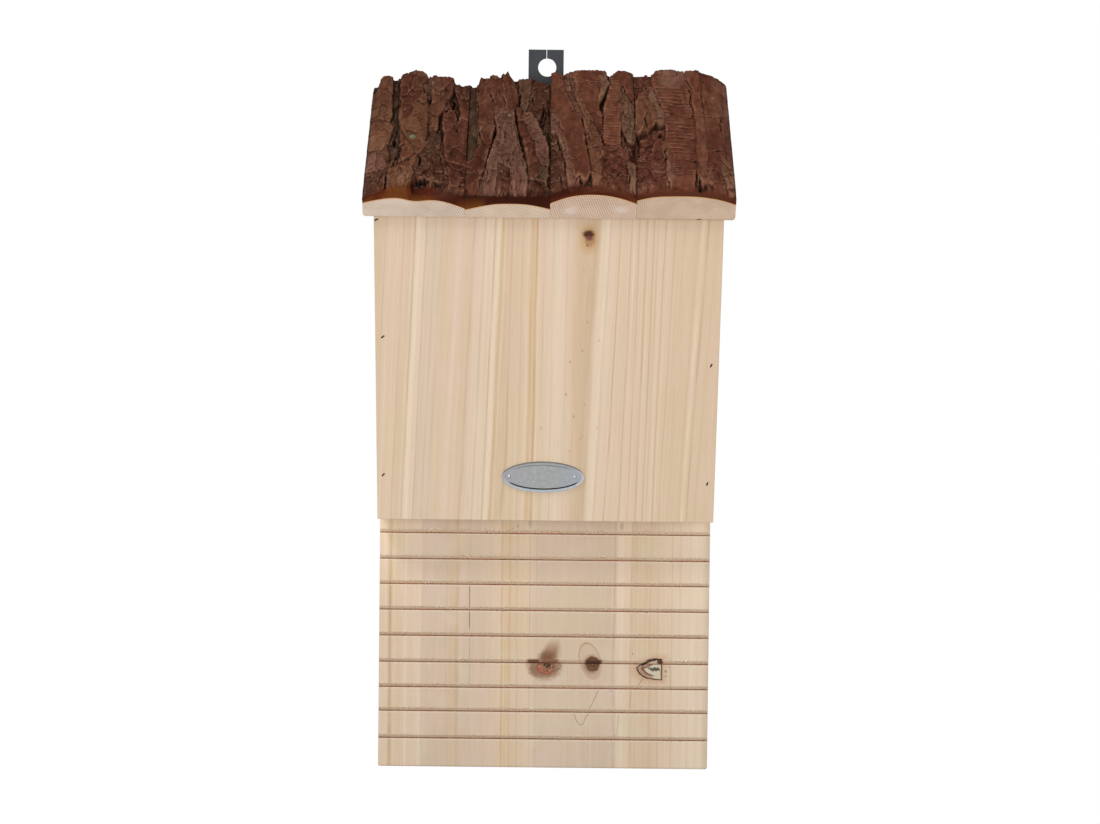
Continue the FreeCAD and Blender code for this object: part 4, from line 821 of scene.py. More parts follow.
# plates: outline, lift over the slab's mean surface, colour, kind, border width
# cracks: line, width, depth
# stains: outline, colour, strength
# front: place across, height of the sawn end, how far behind it the plates start, colour
FEATURES = [
    dict(
        back=[(0, 125), (1.5, 122.5), (3.2, 121.2), (4.2, 123.6), (6, 125.5), (11, 125.5), (13.0, 123.4), (15, 123.8), (17, 124.4), (19, 126), (24, 127), (28, 127.8), (31, 127), (33.4, 124),
              (34.4, 119), (35.2, 122), (38, 125), (44, 125), (49.5, 124), (50.4, 121), (53, 120.5), (55, 119), (57, 121.5), (59.6, 124)],
        plates=[
            ([(-2, 30), (62, 30), (62, -4), (-2, -4)], -1.6, "dusk", "fibrous", 4.0),
            ([(-2, 130), (0, 111), (2, 111), (4, 112), (5, 130), (11.2, 130), (12.2, 112), (12, 100), (13, 88), (13.5, 79), (12.5, 72.5), (10.5, 70.5), (8, 72), (6, 75), (-2, 77)], 0.4, "brown", "smooth", 0.8),
            ([(-2, 78), (6, 76), (11, 72), (14.5, 66), (13.6, 55), (12, 46), (13, 37), (13.6, 31), (9, 34), (5, 36), (-2, 41)], -0.3, "tan", "smooth", 0.9),
            ([(-2, 44), (6, 38), (9, 34), (12, 29), (12.5, 23), (11, 20.5), (8, 19), (7, 16), (-2, 21)], -0.2, "pink", "scaly", 0.8),
            ([(-2, 22), (7, 17), (9, 10), (9.5, -4), (-2, -4)], -0.8, "dusk", "scaly", 0.8),
            ([(18, 123), (19.5, 132), (33.5, 132), (33.5, 113), (31, 106), (33, 100), (34, 92), (36, 86), (36, 60), (35, 50), (32, 46), (26, 45), (23, 47), (20.5, 44), (20.3, 55), (20, 62), (18.8, 72), (18.6, 84), (18.2, 96), (17.8, 108)], 0.5, "rust", "smooth", 0.8),
            ([(26, 132), (24.5, 112), (25, 106), (28, 104.5), (31, 104), (32.5, 102), (34, 105), (36.2, 108), (37, 113), (36, 119), (33, 124), (33, 132)], 1.2, "brown", "smooth", 0.5),
            ([(26, 88), (27.5, 92), (30, 93.5), (33, 91), (35, 86), (36, 80), (35.3, 74), (36, 66), (34.5, 58), (35, 53), (32, 47.5), (28, 46), (26, 47.5), (24, 52), (21.5, 58), (20.5, 64), (21, 70), (24, 73), (26, 79)], 1.0, "tan", "smooth", 0.5),
            ([(23.5, 47), (26, 44), (33, 47), (36.5, 46), (37.4, 41), (36, 37.5), (34.6, 39), (33, 35), (31.2, 35), (30, 31), (27, 30), (24.5, 32), (23.6, 38)], 0.7, "tan", "smooth", 0.5),
            ([(22, 42), (24.5, 40), (24, 33), (27, 31), (31, 32), (30, 27), (28.5, 21), (22, 20.5), (20.5, 21.5), (21, 28), (22, 35)], 0.1, "red", "smooth", 0.5),
            ([(31.5, 112), (33, 101), (36, 96), (38, 104), (37, 113), (35, 118)], -1.2, "grey", "fibrous", 1.4),
            ([(37, 132), (50, 132), (49.3, 115), (48.6, 108), (47, 98), (45, 89), (43, 81), (41.2, 75.5), (39.5, 77), (37, 79), (36.5, 84), (37.5, 92), (38, 100), (37, 110), (36.8, 118)], 1.0, "brown", "smooth", 0.6),
            ([(43, 132), (50, 132), (49, 115), (48, 111), (44, 111)], 1.5, "red", "smooth", 0.6),
            ([(38, 99), (42, 94), (46, 94), (44.5, 87), (42.6, 80.5), (41, 76), (39, 78), (37.5, 84)], 1.4, "brown", "smooth", 0.6),
            ([(36, 80), (41, 75), (41.5, 68), (40.5, 62), (38, 58), (36, 66)], 0.1, "brown", "lumpy", 0.8),
            ([(47, 98), (49, 92), (51, 86), (53, 80), (53, 72), (51, 62), (49, 56), (46, 60), (45, 68), (44.5, 78)], -0.2, "rust", "scaly", 0.9),
            ([(50, 132), (59.8, 132), (59.8, 98), (56, 98), (53, 104), (51, 112)], -0.6, "dusk", "fibrous", 0.9),
            ([(53, 103), (56, 100), (59.8, 100), (59.8, 58), (55, 58), (54, 70), (54.5, 80), (55.5, 88), (54, 96)], 0.4, "red", "smooth", 0.8),
            ([(47, 62), (50, 60), (55, 63), (59.8, 63), (59.8, 26), (57, 23), (53, 23.5), (52, 27), (47.5, 26), (46.5, 40), (46.5, 52)], 0.9, "rust", "smooth", 0.7),
            ([(47, 27), (52, 28), (59.8, 27), (59.8, -4), (49, -4), (47, 10)], 0.1, "maroon", "lumpy", 0.8),
            ([(36, 52), (39, 60), (43, 56), (45, 48), (46, 36), (48, 24), (50, 10), (49, 2), (44, 4), (38, 8), (32, 12), (30, 16), (31, 30), (34, 37), (37, 44)], -0.3, "dusk", "scaly", 1.2),
            ([(15, 18), (20, 20), (28, 19), (29, 12), (27, 2), (26, -4), (14, -4), (15, 8)], -0.2, "tan", "fibrous", 0.9),
        ],
        cracks=[
            ([(17.6, 99), (18.6, 92), (18, 85)], 0.8, 1.2), ([(15, 77), (16.5, 68), (17.4, 60), (15.5, 51)], 0.9, 1.2), ([(17.2, 58), (16.2, 52), (17.4, 45)], 1.5, 2.2), ([(20.3, 43.5), (19.5, 36), (18, 29), (16.8, 22), (16, 14)], 1.15, 2.4),
            ([(13, 17), (13.8, 8), (13, 0)], 1.2, 1.6), ([(50.2, 107), (50.6, 100), (49, 93), (47.2, 88), (45.2, 82), (43.2, 76), (42.2, 71), (43.2, 64), (44.6, 56)], 1.1, 2.6), ([(30.5, 8.0), (33.5, 6.6), (36, 7.2), (39, 6.2)], 2.0, 3.2), ([(41, 5.6), (44, 4.6), (47, 5.4)], 0.9, 1.6),
            ([(50.0, 104), (50.4, 97), (49.2, 90)], 1.8, 2.0), ([(44.6, 56), (44, 44), (44.2, 33), (46, 22), (48.6, 10)], 0.65, 1.5), ([(32.3, 108), (34.6, 103.5), (33.6, 99), (35, 94)], 0.9, 1.6),
            ([(4, 86.4), (8, 86.8), (12.4, 85.6)], 0.45, 0.5), ([(8, 98.6), (12, 97.6)], 0.5, 0.6), ([(3, 91.5), (5.2, 90.0), (6.4, 91.4)], 0.9, 0.9), ([(38.6, 110.6), (42, 110.8), (46.6, 109.6)], 0.4, 0.45),
            ([(52.4, 92), (53.8, 86), (53.2, 79), (52, 72)], 0.55, 1.2), ([(53, 22.4), (56, 23.4), (58, 22.6)], 0.9, 1.0), ([(26, 72.5), (28.6, 73.2), (30.4, 71), (29.4, 69), (27.6, 68.6)], 0.4, 0.35),
            ([(27.5, 35), (29, 33.6), (30, 35.2)], 0.5, 0.5), ([(23.6, 104.6), (28, 103.6), (31.4, 103.8)], 0.4, 0.5), ([(37.4, 34), (40, 28), (41, 20), (41.6, 12)], 0.7, 1.0), ([(31.5, 33), (33, 27), (32.6, 20)], 1.3, 2.0),
            ([(50.8, 61), (51.8, 58.6)], 0.6, 0.6), ([(7, 75.5), (7.6, 73.4)], 0.9, 0.9), ([(58, 52), (58.8, 40), (58.4, 30)], 0.6, 0.8),
        ],
        hollows=[([(27.5, 6.5), (33, 7.5), (40, 5), (47.5, 4.5), (50, -4), (26.5, -4)], 4.2, "deep"), ([(12.4, 130), (17.8, 130), (17.6, 100), (18.4, 84), (19.6, 70), (20, 52), (19.8, 44), (15.5, 40), (14.4, 52), (15, 66), (13.8, 80), (12.6, 96)], 0.6, "moss")],
        stains=[([(14, 50), (19, 46), (18.5, 36), (16, 24), (14, 30)], "moss", 0.8), ([(12.6, 124), (17.6, 124), (18, 90), (19, 60), (18.4, 46), (14.4, 46), (14.6, 66), (13.4, 90)], "moss", 0.7), ([(20, 16), (24, 13), (25.5, 5), (23.5, 2), (20.6, 6)], "light", 0.55), ([(36, 60), (42, 56), (44, 44), (40, 30), (35, 30), (36, 44)], "moss", 0.6),
                ([(2, 70), (9, 69), (10, 56), (5, 52), (1, 58)], "tan", 0.6), ([(32.5, 112), (36, 110), (37, 98), (34.5, 97)], "light", 0.45), ([(20, 126), (24, 126), (23.5, 60), (20.6, 60)], "maroon", 0.3)],
        ridges=[([(15.5, 3.5), (19, 9), (22.5, 16)], 0.5, "light", 0.9), ([(18, 2), (21.5, 7), (25.5, 13.5)], 0.5, "light", 0.8), ([(14.5, 8), (17, 13), (19.5, 19)], 0.4, "light", 0.7), ([(21.5, 2), (24, 6), (26.5, 10)], 0.35, "light", 0.6),
                ([(31.5, 52), (27, 51), (24, 47)], 0.5, "fawn", 0.6), ([(3, 46), (7, 42), (11, 44)], 0.5, "fawn", 0.6)],
        spots=[(27.3, 50.6, 1.8, (132, 150, 122), 0.8), (27.7, 49.8, 0.6, (60, 72, 58), 0.8)],
        front=[(0, 11.6, 0.3, "char", "ember"), (5, 14.2, 0.5, "wine", "ember"), (9, 16.2, 1.0, "wine", "wine"), (12.5, 17.6, 1.8, "wine", "ember"), (16, 18.5, 2.2, "ember", "ember"), (25.4, 18.8, 2.0, "ember", "ember"), (26.2, 20.6, 0.9, "wine", "ember"),
               (28.2, 20.6, 0.9, "wine", "wine"), (29.2, 16.6, 4.2, "umber", "ember"), (38.6, 15.9, 4.6, "wine", "ember"), (47, 15.5, 2.5, "maroon", "char"), (54, 14.4, 1.0, "char", "char"), (59.6, 13.5, 1.0, "umber", "ember")],
        pitch=3.0,
        seed=101,
    ),
    dict(
        back=[(0, 123.5), (2, 120), (5, 119), (6.6, 126.3), (9, 123.8), (14, 125.2), (17, 124.8), (18.4, 122.6), (20, 127), (22, 128), (23.2, 130.5), (24.4, 126.5), (26.6, 122.6), (29, 123.6), (30.4, 125.2), (37, 125.4), (39.5, 124.4), (41, 121.5), (44, 119), (49.7, 119)],
        plates=[
            ([(-2, 132), (52, 132), (52, 90), (-2, 90)], -1.2, "dusk", "fibrous", 3.0),
            ([(-2, 132), (5.5, 132), (5.3, 104), (5.5, 90), (6.4, 74), (7.4, 60), (7.4, 44), (4.4, 32), (-2, 30)], -1.0, "moss", "flat", 0.8),
            ([(5, 119), (5.5, 132), (17.6, 132), (16.8, 110), (16.2, 100), (15.6, 88), (15, 75), (15.6, 66), (14.6, 55), (13.6, 44), (12.5, 36), (11, 26), (10, 14), (9, 4), (8.4, -4), (-2, -4), (-2, 31), (4, 34), (7, 45), (7.2, 60), (6.2, 75), (5.5, 90), (5, 104)], 1.1, "rust", "smooth", 1.0),
            ([(17, 132), (19, 122), (20, 132), (25, 132), (26, 112), (27, 98), (27, 86), (22, 82), (17, 84), (16.5, 96), (17, 110)], 0.5, "rust", "fibrous", 0.8),
            ([(16, 88), (22, 84), (27, 86), (28, 76), (29.5, 66), (30.5, 56), (31.5, 46), (33.5, 36), (35, 26), (36.5, 14), (37.5, 2), (38, -4), (9, -4), (11, 10), (12.5, 22), (14, 34), (15.5, 44), (18, 56), (17.5, 66), (16.5, 76)], 0.9, "mauve", "scaly", 0.9),
            ([(22, 66), (26, 70), (28.6, 62), (29.4, 50), (31, 40), (28, 34), (25, 42), (21, 46), (20.5, 56)], 1.6, "pink", "fibrous", 0.8),
            ([(27, 36), (31, 32), (34.5, 22), (35.8, 10), (34, -4), (29, -4), (27, 10), (25.5, 24)], 1.5, "pink", "fibrous", 0.8),
            ([(12.5, 20), (16.5, 22), (18.6, 12), (17, -4), (11, -4), (12, 8)], 1.2, "pink", "fibrous", 0.8),
            ([(19.6, 24), (25, 21), (26, 8), (24.5, -4), (18.4, -4), (19.2, 10)], 0.3, "maroon", "lumpy", 0.8),
            ([(30, 132), (38, 132), (37.5, 116), (36, 104), (36, 92), (34, 86), (32, 90), (31.5, 100), (30.5, 112)], 0.3, "grey", "flat", 0.8),
            ([(38, 132), (48.5, 132), (48.5, 104), (46, 96), (44, 86), (42, 76), (41, 70), (38, 76), (36, 86), (37, 98), (38.5, 112)], -0.3, "dusk", "scaly", 0.8),
            ([(22, 132), (26, 123), (27.5, 112), (29.5, 98), (31, 88), (34.5, 80), (38, 70), (41, 60), (43, 48), (44, 34), (46, 20), (47, 8), (47.5, -4), (38.5, -4), (38, 12), (37, 24), (35.5, 36), (34.5, 46), (33, 56), (31.5, 64), (30.5, 74), (29.5, 84), (28, 94), (26.5, 106), (25, 116)], 1.2, "rust", "smooth", 0.9),
            ([(34, 84), (38, 80), (41, 72), (43.5, 62), (46, 52), (48, 42), (48.5, 26), (47, 18), (45, 22), (42, 36), (41, 48), (38, 58), (35, 70), (33, 78)], 1.7, "mauve", "scaly", 0.8),
            ([(43, 22), (47, 24), (48.5, 14), (47, 8), (43, 9)], 0.2, "moss", "smooth", 0.8),
            ([(37, 8), (44, 7), (50, 2), (50, -4), (36, -4)], 0.0, "deep", "lumpy", 1.0),
        ],
        cracks=[
            ([(27, 86), (28.5, 76), (30, 66), (31, 56), (32, 46), (34, 34), (36, 22)], 0.8, 1.4), ([(17.8, 59), (15.6, 50), (13.8, 42), (12.8, 30), (10.6, 14), (9, 2)], 0.35, 0.6), ([(17.6, 62), (16.4, 57), (15.2, 53)], 1.6, 1.6), ([(10.4, 15), (9.4, 9), (8.6, 3)], 1.3, 1.6),
            ([(37, 53), (40, 50.5), (43, 47)], 1.1, 1.4), ([(38.4, 110), (38.8, 100), (39.6, 90)], 0.8, 1.2), ([(46, 92), (44.6, 80), (42.6, 67)], 1.2, 2.2), ([(18, 120), (18.3, 108), (19, 98)], 0.7, 1.0),
            ([(12.2, 105), (13.6, 99), (15.2, 92)], 1.3, 0.8), ([(22.4, 60), (22.8, 50), (22.2, 42), (24, 38)], 0.7, 1.0), ([(20.6, 19), (22.4, 16.5), (24.4, 17.6)], 1.0, 1.2), ([(26.2, 30), (26.6, 18), (27.2, 6)], 0.8, 1.4),
            ([(26.6, 72), (25, 68.6), (26.6, 67)], 1.4, 1.2), ([(5.4, 120), (5.4, 96), (6.2, 76), (7.4, 56), (6.2, 36)], 0.7, 1.6), ([(31.4, 108), (30.4, 98), (30.6, 90)], 1.0, 1.6), ([(19.4, 66), (18.2, 62.6)], 0.8, 0.8),
            ([(34.6, 31), (35.8, 28)], 1.0, 1.0), ([(38.6, 8), (42, 6.6), (46, 4)], 0.7, 1.2), ([(48.8, 124), (48.6, 90), (48.8, 50), (48.6, 20)], 0.8, 1.6), ([(39, 121), (37.8, 117.4)], 0.6, 0.8), ([(22.6, 94), (21.8, 86)], 0.5, 0.6),
            ([(12.4, 20), (13.4, 12), (12, 4)], 0.6, 0.7), ([(33, 78), (36, 66), (38.6, 57)], 0.5, 0.7),
        ],
        hollows=[([(48.8, 100), (46, 90), (44, 78), (42.4, 66), (44.4, 64), (46.6, 74), (49.2, 84)], 2.0, "deep")],
        stains=[([(0.5, 90), (5, 88), (7, 60), (7, 44), (2, 44)], "moss", 0.5), ([(7, 126), (15, 126), (14, 108), (8, 108)], "red", 0.5), ([(6, 60), (13, 60), (12, 10), (2, 6), (7, 40)], "deep", 0.55), ([(20, 86), (27, 86), (27, 70), (20, 74)], "dusk", 0.35)],
        ridges=[([(22.5, 75), (21.6, 60), (20.1, 45), (16, 36), (13, 28), (9.5, 11), (9, 3)], 0.9, "light", 0.8), ([(26, 71), (28.4, 58), (30, 44), (32, 28), (35.5, 11), (36, 3)], 0.9, "light", 0.8),
                ([(24.3, 62), (24.9, 41), (27.2, 19), (28, 6)], 0.6, "light", 0.6), ([(36, 76), (40, 62), (43.5, 48), (45, 34)], 0.6, "fawn", 0.6), ([(20.4, 30), (19.4, 16), (18, 4)], 0.6, "light", 0.5)],
        spots=[(24.8, 79.5, 1.1, (150, 140, 122), 0.7), (35.5, 26, 0.5, (170, 160, 150), 0.8), (14.4, 20.6, 0.6, (160, 146, 134), 0.8)],
        front=[(0, 14.4, 1.2, "umber", "ember"), (9, 14.4, 0.6, "umber", "ember"), (13, 14.4, 0.5, "umber", "char"), (33, 14.4, 0.6, "umber", "umber"), (42, 14.4, 0.4, "umber", "umber"), (49.7, 14.4, 0.8, "umber", "char")],
        pitch=3.0,
        seed=211,
    ),
    dict(
        back=[(0, 128.5), (4, 128.6), (5.4, 125), (8, 124.4), (10.6, 127.4), (15, 126.8), (20, 128), (26, 128.8), (33, 128.2), (36, 125.6), (39, 125.6), (41, 129.4), (47, 129.4), (50.5, 129)],
        plates=[
            ([(-2, 60), (53, 60), (53, -4), (-2, -4)], -1.2, "dusk", "lumpy", 3.0),
            ([(8, 132), (14, 132), (14.5, 112), (16, 98), (18, 84), (20, 72), (17, 70), (13.5, 78), (10.5, 92), (8.5, 104), (7, 116)], -0.3, "mauve", "scaly", 0.9),
            ([(13.5, 132), (34.5, 132), (33, 120), (31, 110), (30, 100), (29, 92), (28.5, 84), (31, 76), (31, 66), (31, 56), (28.5, 50), (26, 60), (23, 70), (20, 80), (17.5, 92), (15.5, 104), (14.5, 116)], 1.0, "sienna", "striped", 0.8),
            ([(21, 88), (27.5, 88), (28.6, 82), (30.6, 74), (30.6, 60), (28.5, 52), (26, 61), (23, 72)], 1.0, "rust", "flat", 0.8),
            ([(-2, 132), (5, 132), (6.5, 118), (8, 106), (10, 95), (13, 84), (15, 76), (18, 66), (20, 52), (21, 38), (22.5, 24), (23.5, 10), (20, 5), (17, 8), (15, 1), (13, 2), (12.5, 14), (11, 28), (9.5, 40), (7.5, 52), (5, 62), (2, 74), (-2, 86)], 1.5, "rust", "flat", 1.0),
            ([(4, 61), (7, 50), (8.8, 38), (10.2, 28), (12, 14), (14.4, 3), (16, -1), (12, -1), (10, 8), (8.8, 20), (7.6, 32), (5.8, 46), (3.4, 58)], 0.5, "mauve", "scaly", 0.8),
            ([(-2, 84), (2, 82), (4, 72), (5, 62), (3, 58), (-2, 60)], 0.3, "pink", "scaly", 0.8),
            ([(-2, 58), (3, 56), (6, 44), (7, 32), (8.5, 20), (9, 8), (8, -4), (-2, -4)], -0.5, "dusk", "scaly", 0.9),
            ([(15.8, 104), (17.5, 95), (21, 82), (24, 71), (27, 58), (30, 44), (31.4, 36), (33, 30), (31, 24), (28, 34), (25, 48), (22.5, 58), (21, 68), (19, 78), (16.5, 90), (15, 100)], 1.3, "brown", "scaly", 0.6),
            ([(20, 70), (22.5, 60), (25, 50), (28, 38), (30, 26), (31, 14), (30, 2), (27, -4), (24.5, 8), (23.5, 22), (22, 34), (21, 48)], 0.6, "brown", "scaly", 0.8),
            ([(30.5, 122), (34, 119), (35, 112), (33, 104), (31, 96), (29.5, 92), (29.8, 100), (30.5, 110)], 0.9, "fawn", "fibrous", 0.7),
            ([(36.5, 122), (41.5, 126), (42.5, 112), (42, 98), (41.5, 84), (41.5, 70), (41, 56), (40.5, 44), (38, 42), (33, 43), (31.5, 48), (32, 60), (32, 72), (32, 84), (34, 96), (36, 108)], 0.8, "sienna", "striped", 0.8),
            ([(37, 132), (51, 132), (51, 92), (49, 92), (47, 101), (44.5, 108), (43, 114), (40, 119)], 0.9, "rust", "flat", 0.8),
            ([(43, 109), (45, 103), (48, 94), (50.6, 86), (50.6, 56), (48.5, 46), (46, 49), (43.5, 58), (42, 70), (42, 86), (42.5, 98)], -0.4, "grey", "fibrous", 0.9),
            ([(31, 40), (40, 42), (44, 36), (46, 26), (51, 22), (51, -4), (30, -4), (31, 16), (32, 30)], 0.2, "red", "scaly", 0.9),
            ([(33, 27), (43, 28), (45, 12), (44, 2), (33, 4)], 0.7, "maroon", "lumpy", 0.8),
            ([(46, 23), (49.5, 21), (49.2, 2), (47, -2), (45.6, 8)], 0.8, "grey", "fibrous", 0.8),
        ],
        cracks=[
            ([(2.5, 62), (4.5, 50), (6, 40), (8, 30), (8.8, 20), (8.4, 10)], 0.8, 2.2), ([(20.2, 62), (20.3, 56), (21, 46), (22, 34), (23, 22), (24, 11)], 0.8, 2.2), ([(36, 118), (36.4, 112), (35, 106)], 0.5, 1.4), ([(33.5, 98), (32, 94), (30.6, 91)], 0.8, 1.6),
            ([(28, 88), (29.5, 82), (31, 76), (30.8, 70), (31, 63)], 0.6, 1.4), ([(43.4, 112), (45.5, 104), (47.6, 97), (49.6, 90)], 0.8, 2.4), ([(42, 62), (44, 52), (46, 42), (47.5, 32), (47, 26)], 1.1, 2.8), ([(33, 33), (35, 30), (39, 29.5), (43, 31.6)], 1.0, 1.8),
            ([(31, 18), (33, 17.2)], 0.8, 0.9), ([(39, 25), (42, 26)], 0.8, 0.8), ([(11, 122), (12, 112), (13.4, 102)], 0.9, 1.2), ([(13, 78), (15.4, 76.6)], 1.2, 1.4), ([(14.4, 5), (16.4, 7), (19, 5)], 0.7, 1.2), ([(22, 6), (24, 9)], 0.6, 1.2), ([(5, 124), (6.8, 112), (8.6, 101)], 0.8, 1.6),
            ([(48.5, 60), (49.8, 50), (49.4, 38)], 0.8, 1.4), ([(43.8, 77), (45.6, 76.4)], 0.8, 0.8), ([(4.2, 65), (6.6, 60), (8.2, 57)], 0.6, 0.8), ([(36, 105), (38.6, 100), (39.4, 93)], 0.35, 0.35), ([(33, 12), (36, 9), (40, 10.4)], 0.6, 0.7),
            ([(44, 20), (46, 10), (45.4, 0)], 0.8, 1.2), ([(36, 2), (34.2, -2)], 0.8, 0.8), ([(27, 46), (28.6, 45)], 0.7, 0.8), ([(2, 44), (3.6, 34), (3, 24)], 0.7, 1.0), ([(5.6, 14), (6.6, 4)], 0.9, 1.0),
        ],
        hollows=[([(45.8, 46), (51, 49), (51, 25), (47.6, 29)], 2.4, "deep"), ([(13.4, 5), (20, 4), (25, 7), (25, -4), (13, -4)], 2.4, "deep")],
        stains=[([(10, 70), (19, 66), (21, 40), (22, 20), (14, 10), (11, 40)], "maroon", 0.35), ([(-1, 128), (5, 128), (8, 100), (-1, 96)], "red", 0.5), ([(43, 104), (46, 96), (45, 66), (42.4, 74)], "tan", 0.3), ([(45, 80), (50, 76), (49, 52), (46, 56)], "moss", 0.5),
                ([(40, 118), (43, 112), (42, 70), (40, 72)], "tan", 0.4), ([(24, 26), (31, 26), (30, -2), (25, -2)], "red", 0.5)],
        ridges=[([(13, 104), (16, 92), (19.5, 78), (23, 66), (26, 54)], 0.5, "light", 0.7), ([(5, 60), (8.5, 44), (11, 26), (14, 8)], 0.7, "light", 0.6), ([(31, 112), (30, 100)], 0.6, "light", 0.5), ([(24, 34), (26, 20), (27.5, 4)], 0.6, "fawn", 0.6)],
        spots=[],
        front=[(0, 15.5, 0.8, "umber", "wine"), (8, 17.5, 2.4, "umber", "wine"), (14, 18.2, 4.4, "char", "wine"), (24, 19.0, 4.6, "cocoa", "char"), (29, 19.2, 2.6, "cocoa", "char"), (36, 19.0, 1.6, "cocoa", "char"), (45, 17.2, 2.0, "cocoa", "wine"), (50.5, 15.0, 1.2, "char", "ember")],
        pitch=3.1,
        seed=307,
    ),
    dict(
        back=[(0, 127.6), (2.4, 126.4), (6, 125), (7.6, 126.4), (9.4, 124.6), (12, 126.4), (13.6, 129.6), (22, 129.4), (25.6, 130), (30, 128.8), (36, 129.4), (42, 129), (45, 126.2), (50, 126.2), (54, 127.4), (57.7, 128)],
        plates=[
            ([(-2, 64), (60, 64), (60, -4), (-2, -4)], -1.0, "dusk", "lumpy", 3.0),
            ([(-2, 132), (12.5, 132), (12.5, 112), (10.5, 108), (8, 110), (4, 104), (-2, 99)], -0.1, "maroon", "lumpy", 0.9),
            ([(10, 109.5), (12, 106), (13.5, 95), (15.5, 86), (17.5, 77), (17.3, 66), (15, 66), (12, 70), (9, 62), (6, 60), (-1, 57), (0.8, 70), (1.5, 82), (1, 92), (3, 103), (6.5, 107)], 0.9, "brown", "lumpy", 0.7),
            ([(1, 95), (4.4, 94), (6.4, 86), (5.5, 74), (4.6, 64), (3, 59), (-1, 58), (0.6, 70), (1.4, 84)], 1.3, "brown", "flat", 0.7),
            ([(10.4, 108), (13, 96), (16, 84), (17.5, 76), (17, 67), (14, 67), (14.5, 78), (12.5, 88), (9.4, 97)], 1.1, "grey", "smooth", 0.7),
            ([(2, 57), (9, 58), (11, 50), (9, 43), (4, 42)], -1.4, "rust", "lumpy", 1.2),
            ([(12, 50), (15, 49), (16.4, 44), (16, 36), (13, 31), (9.6, 37), (11, 44)], 0.4, "rust", "flat", 0.8),
            ([(-1, 34), (6, 37), (12, 37), (16, 30), (17, 20), (18, 8), (17, -4), (-2, -4)], -0.1, "maroon", "scaly", 0.9),
            ([(12, 132), (30, 132), (31.5, 120), (33, 112), (35, 104), (34, 96), (34, 88), (35, 78), (36, 66), (36, 52), (35, 40), (35, 26), (34, 14), (33, 4), (32, -4), (21, -4), (20.5, 12), (20, 22), (18, 30), (17.5, 44), (18.5, 58), (18.5, 72), (17, 82), (14.5, 92), (12.5, 104), (11.5, 114), (12, 124)], 1.1, "red", "striped", 0.8),
            ([(14, 136), (30, 136), (32, 118), (28, 106), (20, 107), (15, 112)], 1.1, "mauve", "flat", 5.0),
            ([(32.4, 132), (41, 132), (40.5, 112), (40, 98), (40.5, 84), (41, 70), (41.5, 50), (41.5, 30), (41, 12), (40.5, 4), (36, 4), (35.5, 16), (36, 30), (36.5, 46), (36.5, 60), (36, 76), (35.5, 90), (36, 104), (34.5, 112), (32.6, 120)], 1.2, "sienna", "flat", 0.8),
            ([(41, 132), (54, 132), (54, 116), (53, 104), (52.5, 90), (53.5, 76), (53, 60), (53, 44), (52, 30), (49, 20), (43, 20), (42.5, 44), (42.3, 66), (41.8, 90), (41.5, 112)], 0.9, "rust", "flat", 0.8),
            ([(53.4, 132), (60, 132), (60, -4), (54, -4), (53, 14), (54, 30), (54, 50), (54, 70), (53.5, 90), (54.5, 108)], 0.6, "red", "flat", 0.9),
            ([(42, 24), (50, 24), (51.5, 10), (51, -4), (41, -4)], 0.5, "maroon", "scaly", 0.8),
            ([(50.5, 34), (54, 32), (57.5, 24), (57, 8), (53, 4), (51, 12), (50, 22)], 1.0, "straw", "smooth", 0.9),
            ([(16, 46), (19, 44), (19.5, 34), (18, 28), (16.5, 32), (15.5, 40)], 0.9, "brown", "flat", 0.6),
            ([(18, 24), (21.4, 21), (22, 9), (20, 2), (17.5, 10)], 0.9, "pink", "flat", 0.7),
        ],
        cracks=[
            ([(7.8, 113), (7, 108.5), (3.5, 105), (1.5, 101)], 1.0, 2.0), ([(6.8, 98.4), (9.6, 96.4)], 0.9, 1.2), ([(7.6, 79.5), (5.8, 74), (6.5, 68), (7.2, 62)], 0.8, 1.6), ([(0.6, 60), (2, 55), (2.5, 48), (1, 40), (2, 32)], 1.9, 2.4), ([(11, 62), (15, 60), (14, 53)], 1.1, 1.6),
            ([(31.9, 117), (33, 113), (35.5, 107.5), (33.5, 104), (34.8, 99), (33.5, 92), (34.5, 86), (35.2, 80), (34.5, 74), (35.6, 68), (35.5, 60)], 0.95, 2.8), 
            ([(50.6, 92), (52, 80), (51, 66), (52, 58)], 1.2, 1.0), ([(45.5, 37), (48, 39), (51, 41)], 1.4, 1.8), ([(36, 7), (36.6, 2), (37, -3)], 1.8, 2.4), ([(34.3, 4), (36, 3.4)], 1.0, 1.2), ([(17.6, 40), (16.5, 34), (18, 30), (17, 26), (19.4, 23.6)], 0.95, 2.4),
            ([(11.4, 110), (12.8, 101), (14.4, 92), (17.4, 81)], 0.7, 1.4), ([(26.4, 128), (26.8, 121)], 0.5, 0.8), ([(43.4, 118.4), (41.6, 116)], 0.9, 1.0), ([(46, 100.6), (49, 99.6)], 0.5, 0.4), ([(18.5, 68), (21.6, 63), (23, 59.6)], 0.5, 0.7), ([(26, 48.6), (30, 49.4), (32, 48.6)], 0.6, 0.8),
            ([(27, 48), (27.2, 41)], 0.4, 0.6), ([(47, 14), (48.6, 10)], 0.8, 1.0), ([(53.6, 16), (55, 8)], 0.7, 0.9), ([(34, 26), (34.4, 23)], 0.9, 1.0), ([(38, 15), (40, 13)], 0.6, 0.8), ([(4, 22), (8, 18), (12, 20)], 0.7, 0.8), ([(49.6, 118), (49.8, 112)], 0.5, 0.6),
            ([(13, 124), (19, 122)], 0.4, 0.4), ([(45, 126), (52, 125.4)], 0.5, 0.5), ([(29.6, 101), (31, 95), (30.4, 91)], 0.5, 0.8),
        ],
        hollows=[([(-1, 58), (6, 61), (12, 68), (17, 65), (18, 56), (16, 51), (12, 55), (10, 44), (4, 39), (-1, 30)], 1.7, "rust")],
